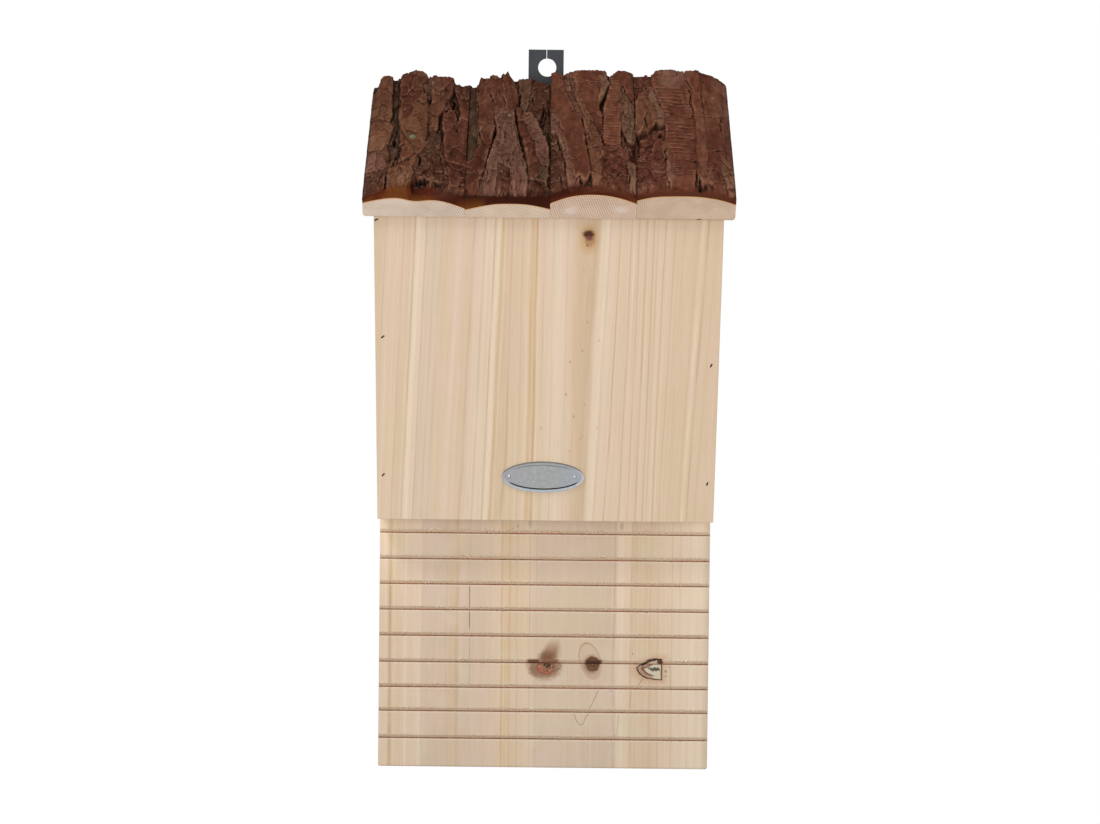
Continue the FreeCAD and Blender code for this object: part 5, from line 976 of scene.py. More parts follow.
        stains=[([(22, 124), (32, 122), (33, 110), (24, 108)], "pink", 0.5), ([(18, 104), (34, 104), (35, 60), (19, 60)], "red", 0.25), ([(37, 84), (41, 84), (41, 30), (37, 30)], "mauve", 0.35), ([(42, 110), (50, 112), (49, 64), (43, 66)], "tan", 0.3),
                ([(43, 60), (53, 60), (52, 26), (43, 24)], "maroon", 0.5), ([(-1, 10), (6, 8), (6, -3), (-1, -3)], "pink", 0.5), ([(38, 22), (40.6, 20), (40.4, 11), (38, 12)], "light", 0.6), ([(24, -3), (44, -3), (44, 2), (26, 2)], "deep", 0.3)],
        ridges=[([(15.8, 84), (17, 76), (16.8, 68)], 0.8, "fawn", 0.7), ([(37, 30), (38, 14), (38, 4)], 1.0, "fawn", 0.5), ([(42.5, 88), (43, 70), (42.6, 50)], 0.5, "fawn", 0.4), ([(17, 38), (18.6, 30)], 0.8, "light", 0.5)],
        spots=[],
        front=[(0, 16.5, 1.0, "cocoa", "char"), (8, 18.5, 1.4, "brick", "cocoa"), (20, 19.4, 2.2, "brick", "brick"), (32, 19.2, 2.4, "brick", "cocoa"), (44, 18.0, 2.0, "brick", "cocoa"), (52, 16.0, 1.2, "brick", "cocoa"), (57.7, 14.0, 0.6, "cocoa", "char")],
        pitch=4.0,
        seed=419,
    ),
]


def bark_grid(k, step=0.31):
    """Height and colour of one slab's bark on a grid of (v, u)."""
    s, f = SLABS[k], FEATURES[k]
    seed = f["seed"]
    nu = int(round((s["w"] - GAP) / step)) + 1
    nv = int(round(ROOF_LEN / step)) + 1
    u1 = np.linspace(GAP / 2, s["w"] - GAP / 2, nu)
    v1 = np.linspace(0.0, 1.0, nv)
    back = np.interp(u1, [p[0] for p in f["back"]], [p[1] for p in f["back"]])
    back = back + 0.5 * noise(u1 / 1.7, 0 * u1 + 3.1, seed + 1) + 0.5 * noise(u1 / 0.8, 0 * u1 + 7.7, seed + 2)
    U = np.broadcast_to(u1, (nv, nu)).copy()
    V = np.broadcast_to(v1[:, None], (nv, nu)) * ROOF_LEN
    V = V + (back[None, :] - ROOF_LEN) * smooth((V - 112.0) / (ROOF_LEN - 112.0))
    wood = profile(k, "wood", u1)
    env = profile(k, "bark", u1)[None, :] + 0 * U
    # shapes are looked up at a wandering place: splinters up the slope, broken ends across it
    # noise along the slope is denser on the part that rounds down to the front
    NV = V + 4.5 * (1 - np.exp(-V / 4.0))
    WU = U + 0.8 * fbm(U / 4.0, NV / 9.0, 3, seed + 5) + 0.50 * noise(U / 1.4, NV / 3.0, seed + 6) + 0.15 * noise(U / 0.8, NV / 1.1, seed + 7)
    WV = V + 1.5 * fbm(U / 3.4, NV / 8.0, 3, seed + 9) + 1.0 * noise(U / 1.5, NV / 2.8, seed + 10) + 0.30 * noise(U / 0.8, NV / 1.2, seed + 11)

    def chips(su, sv, sd, rag=0.34):
        """Overlapping chips: each sits a little higher or lower than its neighbours, has a ragged outline and stands proud at its lower edge."""
        a = (U + 0.6 * (WU - U)) / su + rag * fbm(U / (0.8 * su), NV / (0.8 * sv), 3, sd + 1, 0.42)
        b = (NV + 0.6 * (WV - V)) / sv + rag * fbm(U / (0.8 * su) + 9.7, NV / (0.8 * sv), 3, sd + 2, 0.42)
        f1, f2, r, ox, oy = cells(a, b, sd)
        across, up = (r * 57.31) % 1 - 0.5, 0.05 + 0.9 * ((r * 91.73) % 1)
        lower = smooth(0.25 - oy / 0.35)
        return 0.8 * (r - 0.5) - 1.1 * up * oy + 0.9 * across * ox, f2 - f1 + 0.6 * (1 - lower), (r * 23.17) % 1 - 0.5

    rolling = fbm(U / 6.0, NV / 14.0, 2, seed + 22)
    swell = noise(U / 3.4, NV / 5.5, seed + 18)
    ripple = noise(U / 1.7, NV / 2.8, seed + 19)
    fine = fbm(WU / 0.9, (NV + WV - V) / 3.0, 2, seed + 21)
    fibre = fbm(U / 1.5, (NV + WV - V) / 13.0, 3, seed + 20)
    strands = 1 - 2.0 * np.abs(fbm(U / 1.9 + 0.9 * noise(U / 5.0, NV / 7.0, seed + 23), NV / 15.0, 3, seed + 24))
    big, big_e, big_r = chips(9.5, 16.0, seed + 30)
    mid, mid_e, mid_r = chips(5.6, 10.5, seed + 33)
    small, small_e, small_r = chips(2.6, 5.2, seed + 36)
    long, long_e, long_r = chips(2.5, 11.0, seed + 39, 0.26)
    here = noise(U / 5.0, NV / 8.0, seed + 43)
    there = noise(U / 4.0, NV / 6.0, seed + 44)

    def seam_and_shadow(edge, width, where, level):
        """Dark hairlines along some of the chips' outlines: gaps between the chips, and painted shadow under their
        proud lower edges.
        """
        return smooth(1.4 - edge / width) * smooth((where - level) / 0.25)

    def surface(kind):
        """Relief in mm, a tone in -1 to 1 that is partly random for each chip and partly painted light and shade
        following the relief, and hairlines, of one kind of bark.
        """
        if kind == "smooth":
            h = 0.50 * rolling + 1.00 * big + 0.60 * mid + 0.20 * swell
            line = np.maximum(seam_and_shadow(big_e, 0.050, here, -0.15), 0.85 * seam_and_shadow(mid_e, 0.085, there, 0.10))
            return h, 0.35 * rolling + 0.20 * swell + 0.75 * big_r + 0.40 * mid_r, line
        if kind == "flat":
            h = 0.70 * rolling + 0.45 * big + 0.18 * mid + 0.30 * swell
            line = 0.8 * seam_and_shadow(big_e, 0.045, here, 0.12)
            return h, 0.45 * rolling + 0.30 * swell + 0.45 * big_r + 0.12 * mid_r, line
        if kind == "scaly":
            h = 0.60 * big + 1.00 * mid + 0.50 * small + 0.25 * swell + 0.20 * strands
            line = np.maximum(seam_and_shadow(mid_e, 0.09, here, -0.15), 0.7 * seam_and_shadow(small_e, 0.14, there, 0.20))
            return h, 0.30 * rolling + 0.65 * mid_r + 0.40 * small_r + 0.20 * strands, line
        if kind == "fibrous":
            h = 1.00 * long + 0.60 * strands + 0.30 * fibre + 0.40 * mid + 0.3 * swell
            line = 0.9 * seam_and_shadow(long_e, 0.15, there, 0.10)
            return h, 0.45 * strands + 0.20 * fibre + 0.55 * long_r + 0.25 * rolling - 0.15, line
        if kind == "striped":
            q = (V + 0.10 * (U - 20) + 0.8 * noise(U / 8.0, V / 12.0, seed + 40)) / f["pitch"]
            cell = np.floor(q)
            strip = q - cell
            run = (U + 9.0 * hash2(cell, cell * 0, seed + 41)) / 7.0
            on = hash2(cell, np.floor(run), seed + 42) > 0.45
            ends = smooth(np.minimum(run - np.floor(run), 1 - run + np.floor(run)) / 0.12)
            groove = np.exp(-((np.abs(strip - 0.5) / 0.13) ** 2)) * on * ends
            highlit_lip = np.exp(-((np.abs(strip - 0.76) / 0.11) ** 2)) * on * ends
            h = 0.60 * rolling + 0.40 * big + 0.12 * mid + 0.25 * swell - 0.40 * groove + 0.20 * highlit_lip
            line = 0.8 * seam_and_shadow(big_e, 0.045, here, 0.15)
            # the tone darkens each groove and lightens each lip: painted shade and painted highlight
            return h, 0.45 * rolling + 0.30 * swell + 0.40 * big_r + 0.10 * mid_r - 0.48 * groove + 0.27 * highlit_lip, line
        h = 0.70 * swell + 0.80 * mid + 0.45 * big + 0.35 * small
        line = np.maximum(seam_and_shadow(mid_e, 0.085, here, -0.05), 0.6 * seam_and_shadow(small_e, 0.13, there, 0.25))
        return h, 0.40 * swell + 0.30 * rolling + 0.60 * mid_r + 0.30 * small_r, line

    surf = {kind: surface(kind) for kind in KINDS}
    h, sh, ln = surf["fibrous"]
    H = env - 2.4 + h
    shade = sh - 0.25
    dark = 0.6 * ln
    C = np.zeros((nv, nu, 3)) + np.array(lin(BARK["olive"])[:3])
    painted_plate_shadow = np.zeros((nv, nu))
    for n, (poly, lift, name, kind, border) in enumerate(f["plates"]):
        d = inside(poly, WU, WV)
        wide_edge = border > 2.0
        m = smooth(d / border + 0.5) if wide_edge else smooth((d + 0.9) / 0.5)
        h, sh, ln = surf[kind]
        tip = 0.5 * noise(U / 11.0 + 5.1 * n, V / 17.0, seed + 45)
        rim = 0.0 if wide_edge else 0.20 * np.exp(-np.maximum(d + 0.6, 0) / 0.7)
        H = H * (1 - m) + (env + 0.85 * lift + h + tip - rim) * m
        shade = shade * (1 - m) + (sh + 0.35 * tip) * m
        dark = dark * (1 - m) + ln * m
        C = C * (1 - m[..., None]) + np.array(lin(BARK[name])[:3]) * m[..., None]
        # painted shadow round each raised plate, on the bark it overlaps
        painted_shadow = np.exp(-np.maximum(-d - 0.8, 0) / 0.7) * (d < -0.6)
        painted_plate_shadow = np.maximum(painted_plate_shadow * (1 - m), painted_shadow * np.clip(lift, 0, 1.4) / 1.4)
    fade = smooth((ROOF_LEN - 3.0 - V) / 16.0)
    for poly, depth, name in f["hollows"]:
        d = inside(poly, WU, WV)
        m = smooth(d / 3.0 + 0.35)
        H = H - m * depth * (0.8 + 0.25 * fibre) * (0.35 + 0.65 * fade)
        C = C * (1 - 0.7 * m[..., None]) + np.array(lin(BARK[name])[:3]) * 0.7 * m[..., None]
    for poly, name, amount in f["stains"]:
        d = inside(poly, WU, WV)
        m = np.clip(amount * smooth(d / 3.5 + 0.5) * (0.8 + 0.5 * swell), 0, 1)[..., None]
        C = C * (1 - m) + np.array(lin(BARK[name])[:3]) * m
    H = H - 0.35 * dark
    dark = 0.55 * dark
    CU = U + 0.7 * (WU - U)
    CV = V + 0.7 * (WV - V)
    for line, width, depth in f["cracks"]:
        d, where = along(line, CU, CV)
        taper = np.clip(4 * where * (1 - where) + 0.25, 0, 1)
        w = 0.75 * width * taper * np.clip(0.75 + 0.7 * noise(U / 1.7, V / 2.3, seed + 50), 0.12, 1.7)
        m = smooth(1.35 - d / np.maximum(w, 0.12))
        if np.ptp([p[1] for p in line]) > 18:
            m = m * np.clip(0.10 + 1.1 * smooth(1.5 * noise(U / 3.0, V / 6.0, seed + 51) + 0.45), 0, 1)
        H = H - m * depth * taper
        dark = np.maximum(dark, m * min(0.96, 0.35 + 0.32 * depth))

    # joints with the next slab are narrow; the outer flanks round over a little
    left, right = U - GAP / 2, s["w"] - GAP / 2 - U
    rag = np.clip(0.75 + 0.6 * noise(U / 3.0, V / 5.0, seed + 60), 0.3, 1.5)
    dl, wl = (1.4, 1.3) if k == 0 else (0.12, 0.35)
    dr, wr = (1.4, 1.3) if k == 3 else (0.12, 0.35)
    H = H - dl * np.exp(-((left / (wl * rag)) ** 1.3)) - dr * np.exp(-((right / (wr * rag)) ** 1.3))

    # the sawn front end shows inner bark; the rough plates start at or behind it
    rows = f["front"]
    at = [p[0] for p in rows]
    band = np.interp(u1, at, [p[1] for p in rows]) - wood
    back_by = np.interp(u1, at, [p[2] for p in rows])
    band = np.maximum(band + 0.22 * noise(u1 / 3.0, 0 * u1 + 1.7, seed + 61) + 0.05 * noise(u1 / 1.1, 0 * u1 + 4.7, seed + 64), 1.6)
    back_by = np.maximum(back_by * (1 + 0.35 * noise(u1 / 4.0, 0 * u1 + 5.5, seed + 62)), 0.05)
    lip_h = (wood + band)[None, :] + 0 * V
    behind = V - back_by[None, :]
    reach = 6.0 + 2.0 * noise(u1 / 6.0, 0 * u1 + 8.1, seed + 65)[None, :]
    x = np.clip(behind / reach, 0, 1)
    bow = 1 - (1 - x) ** 1.7
    relief = H
    body = blur(H, 10, 10)
    front = lip_h + 0.22 * np.minimum(V, back_by[None, :]) + (body - lip_h) * bow + (H - body) * (0.35 + 0.65 * smooth(behind / 1.2))
    # the flakes end in a ragged, overhanging lip a little above the sawn end
    edge = 0.7 + 0.9 * noise(U / 1.6, 0 * V + 3.3, seed + 67) + 0.5 * noise(U / 0.8, 0 * V + 6.3, seed + 68)
    front = front + 0.8 * smooth((behind - edge + 0.25) / 0.5) * smooth((3.0 - behind) / 2.5) - 0.5 * smooth((behind + 0.2) / 0.4) * smooth((edge - behind) / 0.4)
    H = np.where(x < 1, front, H)
    H = np.maximum(H, wood[None, :] + 1.4)
    # back end, weathered
    H = H - 0.8 * np.exp(-(((V - (back[None, :])) / 1.0) ** 2))

    # painted light and shade, from the relief alone: darker hollows and pits, lighter crests
    deep = blur(relief, 20, 20)
    wide = blur(relief, 5, 5)
    near = blur(relief, 2, 2)
    hollow = np.clip((wide - relief) / 1.0, -1, 1.5)
    pit = np.clip((deep - relief) / 3.0, 0, 1)
    crest = np.clip((relief - near) / 0.20, -1, 1)
    # painted shadow under every edge that looks down the slope, painted highlight on the edge itself
    above = np.maximum(np.roll(relief, -2, 0) - relief - 0.10, np.roll(relief, -4, 0) - relief - 0.28)
    below = relief - np.roll(relief, 2, 0) - 0.10
    above[-5:], below[:3] = 0, 0
    painted_shadow = smooth(above / 0.42) * np.clip(0.62 + 0.9 * there, 0.1, 1)
    painted_edge_light = smooth(below / 0.42) * smooth((0.3 + here + 0.8 * ripple) / 0.8)
    value = 1.0 + 0.38 * shade + 0.14 * crest - 0.22 * np.maximum(hollow, 0) + 0.10 * np.maximum(-hollow, 0) - 0.34 * pit + 0.05 * painted_edge_light
    value = value * (1 - 0.35 * painted_plate_shadow) * (1 - 0.42 * painted_shadow)
    # some chips are greyer and lighter, others redder
    hue = fbm(U / 4.5, V / 9.0, 3, seed + 70)
    grey = np.clip(0.9 * big_r + 0.6 * mid_r + 0.25 * small_r + 0.5 * hue, -1, 1)
    m = (0.42 * np.maximum(grey, 0))[..., None]
    C = C * (1 - m) + np.array(lin(BARK["fawn"])[:3]) * m
    m = (0.50 * np.maximum(-grey, 0))[..., None]
    C = C * (1 - m) + np.array(lin(BARK["maroon"])[:3]) * m
    # painted highlight: crests and lit lower edges mixed towards a light colour
    painted_crest_highlight = np.clip(0.60 * np.maximum(crest - 0.25, 0) * np.maximum(0.35 + here, 0) + 0.22 * painted_edge_light * np.maximum(crest, 0), 0, 0.50)[..., None]
    C = C * (1 - painted_crest_highlight) + np.array(lin(BARK["light"])[:3]) * painted_crest_highlight
    C = C * np.clip(value, 0.36, 1.6)[..., None] * np.array([1.03, 0.95, 0.87])
    dark = np.clip(dark, 0, 1)[..., None]
    C = C * (1 - dark) + np.array(lin(BARK["black"])[:3]) * dark
    for line, width, name, amount in f.get("ridges", ()):
        d, where = along(line, CU, CV)
        ragged = np.clip(0.6 + 0.9 * noise(U / 1.2, V / 3.0, seed + 54), 0, 1.4)
        m = np.clip(amount * smooth(1.3 - d / (width * np.maximum(ragged, 0.15))) * np.clip(0.5 + noise(U / 2.5, V / 4.0, seed + 55), 0, 1), 0, 1)
        H = H + 0.5 * m
        C = C * (1 - m[..., None]) + np.array(lin(BARK[name])[:3]) * m[..., None]
    for x, y, r, rgb, amount in f["spots"]:
        m = amount * smooth(1.4 - np.hypot(U - x, (V - y) * 0.8) / r + 0.3 * fine)
        C = C * (1 - m[..., None]) + np.array(lin(rgb)[:3]) * m[..., None]
    # inner bark colour on the front end
    cols = np.array([lin(BARK[p[3]])[:3] for p in rows])
    band_c = np.stack([np.interp(u1, at, cols[:, i]) for i in range(3)], -1)
    cols = np.array([lin(BARK[p[4]])[:3] for p in rows])
    foot_c = np.stack([np.interp(u1, at, cols[:, i]) for i in range(3)], -1)
    m = smooth((0.45 + 0.5 * noise(U / 1.1, V / 1.5, seed + 66) - behind) / 0.4)[..., None]
    C = C * (1 - 0.9 * m) + band_c[None] * np.clip(0.95 + 0.25 * swell + 0.15 * ripple, 0.4, 1.5)[..., None] * 0.9 * m
    return U, V, H, C * BARK_GAIN[k], wood, band_c, foot_c, seed


def zipper(a, b):
    """Triangles between two lines of vertex numbers that run the same way."""
    tris, i, j = [], 0, 0
    while i < len(a) - 1 or j < len(b) - 1:
        if j == len(b) - 1 or (i < len(a) - 1 and (i + 1) / (len(a) - 1) <= (j + 1) / (len(b) - 1)):
            tris.append((a[i], a[i + 1], b[j]))
            i += 1
        else:
            tris.append((a[i], b[j + 1], b[j]))
            j += 1
    return tris


def build_bark(k, material):
    U, V, H, C, wood, band_c, foot_c, seed = bark_grid(k)
    nv, nu = U.shape
    s = SLABS[k]
    pts = [roof_point(k, U, V, H).reshape(-1, 3)]
    cols = [C.reshape(-1, 3)]
    top = np.arange(nv * nu).reshape(nv, nu)
    quads = np.stack([top[:-1, :-1], top[:-1, 1:], top[1:, 1:], top[1:, :-1]], -1).reshape(-1, 4)
    faces = [tuple(int(i) for i in q) for q in quads]
    count = nv * nu

    def add(p, c):
        nonlocal count
        pts.append(p)
        cols.append(c)
        ids = list(range(count, count + len(p)))
        count += len(p)
        return ids

    rows = 5
    # front and back ends: rows between the grid's border and the wood
    def wall(border, u, v, h_top, h_bot, col_top, col_bot, out, flip, amp):
        """Rows of vertices from a border of the grid down to the wood, roughened outwards."""
        prev = border
        for r in range(1, rows + 1):
            f = r / rows
            h = h_top * (1 - f) + h_bot * f
            bulge = amp * noise(np.arange(len(u)) / 6.0, np.full(len(u), r * 0.8), seed + 80) * math.sin(math.pi * f)
            uu, vv = u + out[0] * bulge, v + out[1] * bulge
            c = col_top * (1 - f) + col_bot * f
            c = c * (1 + 0.18 * noise(np.arange(len(u)) / 3.0, np.full(len(u), r * 1.3), seed + 81))[:, None]
            ids = add(roof_point(k, uu, vv, h), c)
            for i in range(len(u) - 1):
                q = (prev[i], prev[i + 1], ids[i + 1], ids[i])
                faces.append(q if not flip else q[::-1])
            prev = ids
        return prev

    lo = wood
    front = wall(list(top[0]), U[0], V[0], H[0], lo, band_c, foot_c, (0, -1), True, 0.12)
    rear = wall(list(top[-1]), U[-1], V[-1], H[-1], lo, C[-1], C[-1] * 0.6, (0, 1), False, 0.6)
    # side walls share the corner columns of the end walls
    def side(col, front_ids, rear_ids, flip, sign):
        u, v = U[:, col], V[:, col]
        h_top, h_bot = H[:, col], np.full(nv, wood[col])
        prev = list(top[:, col])
        for r in range(1, rows + 1):
            f = r / rows
            h = h_top * (1 - f) + h_bot * f
            bulge = sign * 0.5 * noise(v / 2.5, np.full(nv, r * 0.9), seed + 83) * math.sin(math.pi * f)
            inner = add(roof_point(k, (u + bulge)[1:-1], v[1:-1], h[1:-1]), (C[1:-1, col] * (1 - f) + np.array(lin(BARK["dusk"])[:3]) * f))
            ids = [front_ids[r - 1]] + inner + [rear_ids[r - 1]]
            for i in range(nv - 1):
                q = (prev[i], prev[i + 1], ids[i + 1], ids[i])
                faces.append(q if flip else q[::-1])
            prev = ids
        return prev

    # numbers of the end walls' rows: they were added in order
    base = nv * nu
    front_rows = [[base + r * nu + i for i in range(nu)] for r in range(rows)]
    rear_rows = [[base + (rows + r) * nu + i for i in range(nu)] for r in range(rows)]
    left = side(0, [row[0] for row in front_rows], [row[0] for row in rear_rows], True, -1)
    right = side(-1, [row[-1] for row in front_rows], [row[-1] for row in rear_rows], False, 1)
    # underside: straight strips up the slope, stitched to the denser side walls
    rounded = len(faces)
    for i in range(1, nu - 2):
        faces.append((front[i], rear[i], rear[i + 1], front[i + 1]))
    faces += [t[::-1] for t in zipper(left, [front[1], rear[1]])]
    faces += list(zipper(right, [front[nu - 2], rear[nu - 2]]))

    mesh = bpy.data.meshes.new("bark_%d" % (k + 1))
    P = np.concatenate(pts) * MM
    mesh.from_pydata(P.tolist(), [], faces)
    attr = mesh.color_attributes.new("tone", "FLOAT_COLOR", "POINT")
    rgba = np.concatenate([np.clip(np.concatenate(cols), 0, 1), np.ones((len(P), 1))], 1)
    attr.data.foreach_set("color", rgba.astype(np.float32).ravel())
    mesh.polygons.foreach_set("use_smooth", np.arange(len(mesh.polygons)) < rounded)
    # the sawn front end meets the rough surface at a crisp edge
    ends = np.empty(len(mesh.edges) * 2, np.int64)
    mesh.edges.foreach_get("vertices", ends)
    ends = ends.reshape(-1, 2)
    crisp = mesh.attributes.new("sharp_edge", "BOOLEAN", "EDGE")
    crisp.data.foreach_set("value", (ends < nu).all(1))
    mesh.update()
    mesh.validate()
    obj = bpy.data.objects.new("bark_%d" % (k + 1), mesh)
    bpy.context.scene.collection.objects.link(obj)
    mesh.materials.append(material)
    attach(obj, "root")
    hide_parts("roof_bark_%d" % (k + 1))
    return obj


def bark_material():
    g = Graph("spruce_bark")
    tc = g.new("ShaderNodeVertexColor", layer_name="tone")
    u, v, h = g.local((0, ROOF_Y, ROOF_Z), ((1, 0, 0), (0, CS, SN), (0, -SN, CS)))
    fine = g.noise(g.vec(g.mul(u, 1.1), g.mul(v, 0.40), g.mul(h, 0.8)), 1.0, 4.0, 0.6)
    speck = g.noise(g.vec(g.mul(u, 1.2), g.mul(v, 1.0), g.mul(h, 1.0)), 1.0, 3.0, 0.65)
    colour = g.mix(g.step(fine, 0.40, 0.75, 0.0, 0.10), tc.outputs["Color"], (0.0, 0.0, 0.0, 1.0))
    colour = g.mix(g.step(speck, 0.70, 0.84, 0.0, 0.12), colour, lin((150, 118, 98)))
    g.link(colour, g.bsdf.inputs["Base Color"])
    g.bsdf.inputs["Roughness"].default_value = 0.72
    g.bsdf.inputs["Specular IOR Level"].default_value = 0.06
    g.bump(g.add(g.mul(fine, 0.8), g.mul(speck, 0.3)), 0.10, 0.35)
    return g.mat


BARK_MAT = bark_material()
for k in range(4):
    build_bark(k, BARK_MAT)

# ---------------------------------------------------------------- metals


def steel(name, colour, rough, metallic=1.0, patch=0.2, seed=1.0, scale=0.25):
    g = Graph(name)
    a, b, c = g.local((0, 0, 0), ((1, 0, 0), (0, 1, 0), (0, 0, 1)))
    n = g.noise(g.vec(g.mul(a, scale), g.mul(b, scale), g.madd(c, scale, seed)), 1.0, 4.0, 0.6)
    dark = tuple(c * (1 - patch) for c in lin(colour)[:3]) + (1.0,)
    light = tuple(min(1.0, c * (1 + patch)) for c in lin(colour)[:3]) + (1.0,)
    g.link(g.mix(n, dark, light), g.bsdf.inputs["Base Color"])
    fine = g.noise(g.vec(g.mul(a, 3.0), g.mul(b, 3.0), g.mul(c, 3.0)), 1.0, 3.0, 0.6)
    g.link(g.step(fine, 0.2, 0.8, rough - 0.06, rough + 0.08), g.bsdf.inputs["Roughness"])
    g.bsdf.inputs["Metallic"].default_value = metallic
    g.bump(fine, 0.03, 0.3)
    return g.mat


use(steel("blackened_steel", (66, 67, 70), 0.55, 0.85, 0.16, 1.0, 0.12), "hanger_strap")
use(steel("bright_steel", (150, 150, 150), 0.40, 1.0, 0.2, 2.0), *[n for n in NODES if "screw" in n])
use(steel("dark_nail_steel", (70, 58, 48), 0.50, 0.9, 0.25, 3.0), *[n for n in NODES if "nail" in n or "brad" in n])


def plate_metal():
    """Pressed sheet: a painted shade line round the raised field, painted shadow deepest along the bottom, a painted
    highlight on the flange below it and at the right end, and painted shade along the upper rim.
    """
    g = Graph("plate_aluminium")
    a, b, c = g.local(PANEL_O, PANEL_AX)
    x, y = g.add(a, 1.7), g.sub(b, 29.2)

    def oval(ra, rb):
        px, py = g.mul(x, 1 / ra), g.mul(y, 1 / rb)
        e = g.math("MAXIMUM", g.math("SQRT", g.add(g.mul(px, px), g.mul(py, py))), 0.05)
        gx, gy = g.mul(px, 1 / ra), g.mul(py, 1 / rb)
        slope = g.math("MAXIMUM", g.math("SQRT", g.add(g.mul(gx, gx), g.mul(gy, gy))), 0.002)
        return g.math("DIVIDE", g.mul(g.sub(e, 1.0), e), slope)

    n = g.noise(g.vec(g.mul(a, 0.35), g.mul(b, 0.5), 4.0), 1.0, 3.0, 0.6)
    colour = g.mix(g.step(n, 0.35, 0.65), lin((186, 187, 186)), lin((196, 199, 200)))
    colour = g.mix(g.step(x, -8.0, -20.0, 0.0, 0.35), colour, lin((198, 190, 204)))
    colour = g.mix(g.step(x, 8.0, 20.0, 0.0, 0.4), colour, lin((188, 200, 216)))
    line, outer = oval(22.8, 7.8), oval(25.0, 10.0)
    # painted highlight on the flange below the line
    painted_flange_highlight = g.mul(g.step(line, 0.2, 0.7, 0.0, 1.0), g.step(y, 2.0, -4.0, 0.0, 1.0))
    colour = g.mix(g.mul(painted_flange_highlight, 0.5), colour, lin((214, 222, 226)))
    # painted highlight at the plate's right end
    colour = g.mix(g.mul(g.step(line, 0.3, 0.9, 0.0, 1.0), g.step(x, 19.0, 22.5, 0.0, 0.7)), colour, lin((232, 224, 226)))
    # painted shade along the upper part of the line
    painted_shade_top = g.mul(g.step(g.math("ABSOLUTE", line), 0.42, 0.15, 0.0, 1.0), g.mul(g.step(y, 4.0, 7.0, 0.0, 0.55), g.step(g.math("ABSOLUTE", x), 21.0, 15.0, 0.0, 1.0)))
    colour = g.mix(painted_shade_top, colour, lin((92, 100, 102)))
    # painted shadow along the bottom of the line, below the raised field
    ends = g.math("ABSOLUTE", g.sub(x, 0.5))
    deep = g.mul(g.step(g.math("ABSOLUTE", line), 0.62, 0.25, 0.0, 1.0), g.mul(g.step(y, -2.0, -4.5, 0.0, 0.95), g.step(ends, 22.0, 19.0, 0.0, 1.0)))
    colour = g.mix(deep, colour, lin((38, 46, 52)))
    # painted shade along the upper rim
    rim = g.mul(g.step(outer, -0.75, -0.25, 0.0, 1.0), g.step(y, 1.0, 5.0, 0.0, 0.6))
    colour = g.mix(rim, colour, lin((84, 92, 94)))
    g.link(colour, g.bsdf.inputs["Base Color"])
    fine = g.noise(g.vec(g.mul(a, 3.0), g.mul(b, 3.0), 2.0), 1.0, 3.0, 0.6)
    g.link(g.step(fine, 0.2, 0.8, 0.38, 0.50), g.bsdf.inputs["Roughness"])
    g.bsdf.inputs["Metallic"].default_value = 1.0
    g.bump(g.madd(fine, 0.5, n), 0.06, 0.3)
    return g.mat


def pin_metal():
    """Bright heads with a painted shade spot on the upper right."""
    g = Graph("pin_steel")
    a, b, c = g.local(PANEL_O, PANEL_AX)
    n = g.noise(g.vec(g.mul(a, 1.2), g.mul(b, 1.2), c), 1.0, 3.0)
    colour = g.mix(n, lin((206, 206, 206)), lin((236, 236, 236)))
    # painted shade: a dark spot on each head's upper right
    for x in (-21.9, 17.9):
        dx, dy = g.sub(a, x + 0.35), g.sub(b, 29.2 + 0.45)
        d = g.math("SQRT", g.add(g.mul(g.mul(dx, dx), 1.6), g.mul(dy, dy)))
        colour = g.mix(g.step(d, 0.75, 0.35, 0.0, 0.92), colour, lin((30, 30, 32)))
    g.link(colour, g.bsdf.inputs["Base Color"])
    g.link(g.step(n, 0.3, 0.7, 0.28, 0.40), g.bsdf.inputs["Roughness"])
    g.bsdf.inputs["Metallic"].default_value = 1.0
    return g.mat


use(plate_metal(), *[n for n in NODES if "plate" in n and "pin" not in n])
use(pin_metal(), *[n for n in NODES if "plate" in n and "pin" in n])
for n, o in NODES.items():
    if not o.data.materials or not o.data.materials[0] or not o.data.materials[0].use_nodes:
        print("no material yet:", n)
print("nodes:", sorted(NODES))

# ---------------------------------------------------------------- stage, light and camera


def disc(name, radius_m, z_m, segments=96):
    pts = [(radius_m * math.cos(2 * math.pi * i / segments), radius_m * math.sin(2 * math.pi * i / segments), z_m) for i in range(segments)]
    mesh = bpy.data.meshes.new(name)
    mesh.from_pydata(pts, [], [tuple(range(segments))])
    obj = bpy.data.objects.new(name, mesh)
    bpy.context.scene.collection.objects.link(obj)
    return obj


floor = disc("floor", 2.6, -1.5)
g = Graph("pale_floor")
a, b, c = g.local((0, 0, 0), ((1, 0, 0), (0, 1, 0), (0, 0, 1)))
n = g.noise(g.vec(g.mul(a, 0.01), g.mul(b, 0.01), 0.0), 1.0, 3.0)
g.link(g.mix(n, (0.78, 0.78, 0.78, 1), (0.83, 0.83, 0.82, 1)), g.bsdf.inputs["Base Color"])
g.bsdf.inputs["Roughness"].default_value = 0.9
floor.data.materials.append(g.mat)

world = bpy.data.worlds.new("studio")
bpy.context.scene.world = world
world.use_nodes = True
tree = world.node_tree
backdrop = tree.nodes["Background"]
backdrop.inputs[0].default_value = (1, 1, 1, 1)
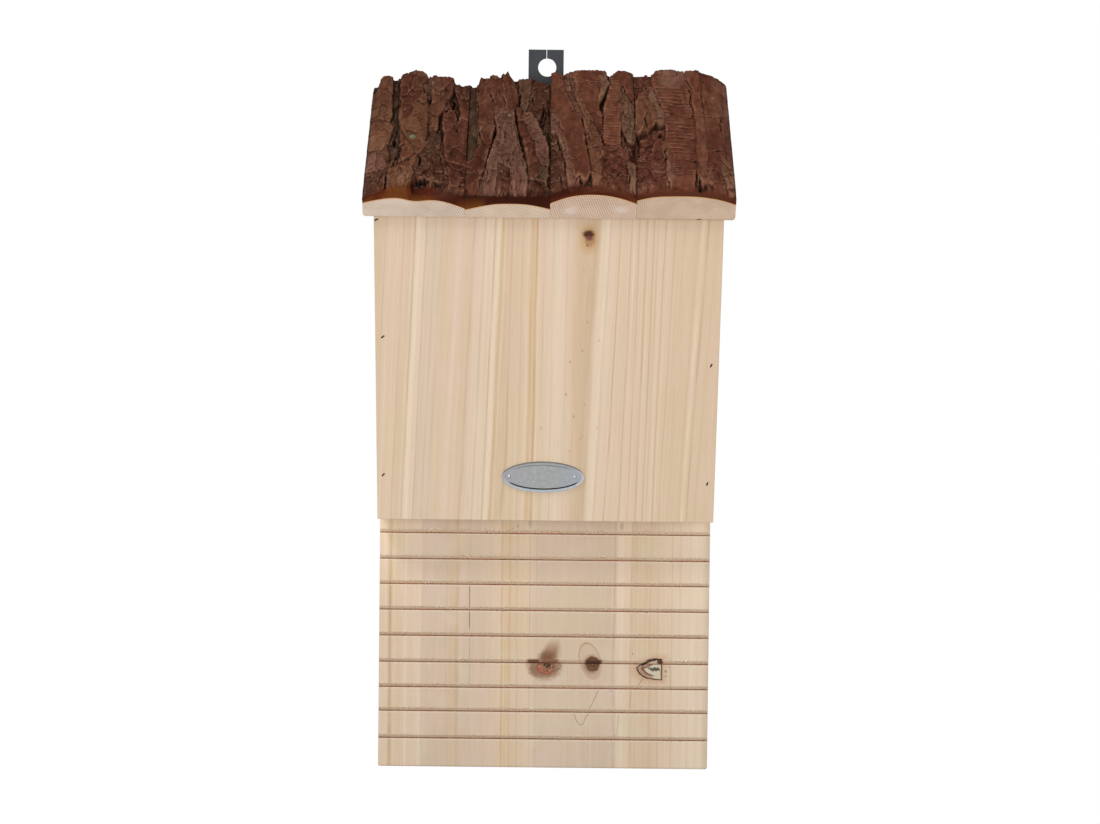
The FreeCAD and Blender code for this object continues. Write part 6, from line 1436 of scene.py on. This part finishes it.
# a white room all round, with a dimmer ceiling so that the key light from above shows the relief
where = tree.nodes.new("ShaderNodeTexCoord")
split = tree.nodes.new("ShaderNodeSeparateXYZ")
dim = tree.nodes.new("ShaderNodeMapRange")
dim.interpolation_type = "SMOOTHSTEP"
tree.links.new(where.outputs["Generated"], split.inputs[0])
tree.links.new(split.outputs[2], dim.inputs["Value"])
for socket, number in zip(dim.inputs[1:5], (0.20, 0.55, 1.0, 0.25)):
    socket.default_value = number
tree.links.new(dim.outputs[0], backdrop.inputs[1])


def area(name, at, target, size, watts):
    light = bpy.data.lights.new(name, "AREA")
    light.shape = "RECTANGLE"
    light.size, light.size_y = size
    light.energy = watts
    obj = bpy.data.objects.new(name, light)
    obj.location = at
    obj.rotation_mode = "QUATERNION"
    obj.rotation_quaternion = (Vector(target) - Vector(at)).to_track_quat("-Z", "Y")
    bpy.context.scene.collection.objects.link(obj)


area("key", (-0.8, -1.35, 1.5), (0.0, -0.06, -0.10), (0.6, 0.6), 20.0)
area("front", (0.1, -2.1, -0.30), (0.0, -0.02, -0.30), (1.6, 0.9), 9.0)

CAM_AT = (-1.601, -1679.317, -149.495)
yaw, pitch, roll = (math.radians(x) for x in (-0.1958, -2.2, -0.6467))
RY = Matrix(((math.cos(yaw), -math.sin(yaw), 0), (math.sin(yaw), math.cos(yaw), 0), (0, 0, 1)))
RP = Matrix(((1, 0, 0), (0, math.cos(pitch), -math.sin(pitch)), (0, math.sin(pitch), math.cos(pitch))))
RR = Matrix(((math.cos(roll), 0, math.sin(roll)), (0, 1, 0), (-math.sin(roll), 0, math.cos(roll))))
R = RY @ RP @ RR
right, ahead, up = R.col[0], R.col[1], R.col[2]
cam_data = bpy.data.cameras.new("camera")
cam_data.sensor_width = 36.0
cam_data.lens = 88.09
cam_data.clip_start, cam_data.clip_end = 0.05, 50.0
cam_data.dof.use_dof = False
camera = bpy.data.objects.new("camera", cam_data)
bpy.context.scene.collection.objects.link(camera)
m = Matrix.Identity(4)
for i in range(3):
    m[i][0], m[i][1], m[i][2] = right[i], up[i], -ahead[i]
    m[i][3] = CAM_AT[i] * MM
camera.matrix_world = m
bpy.context.scene.camera = camera
bpy.context.scene.view_settings.view_transform = "Standard"
bpy.context.scene.view_settings.look = "None"
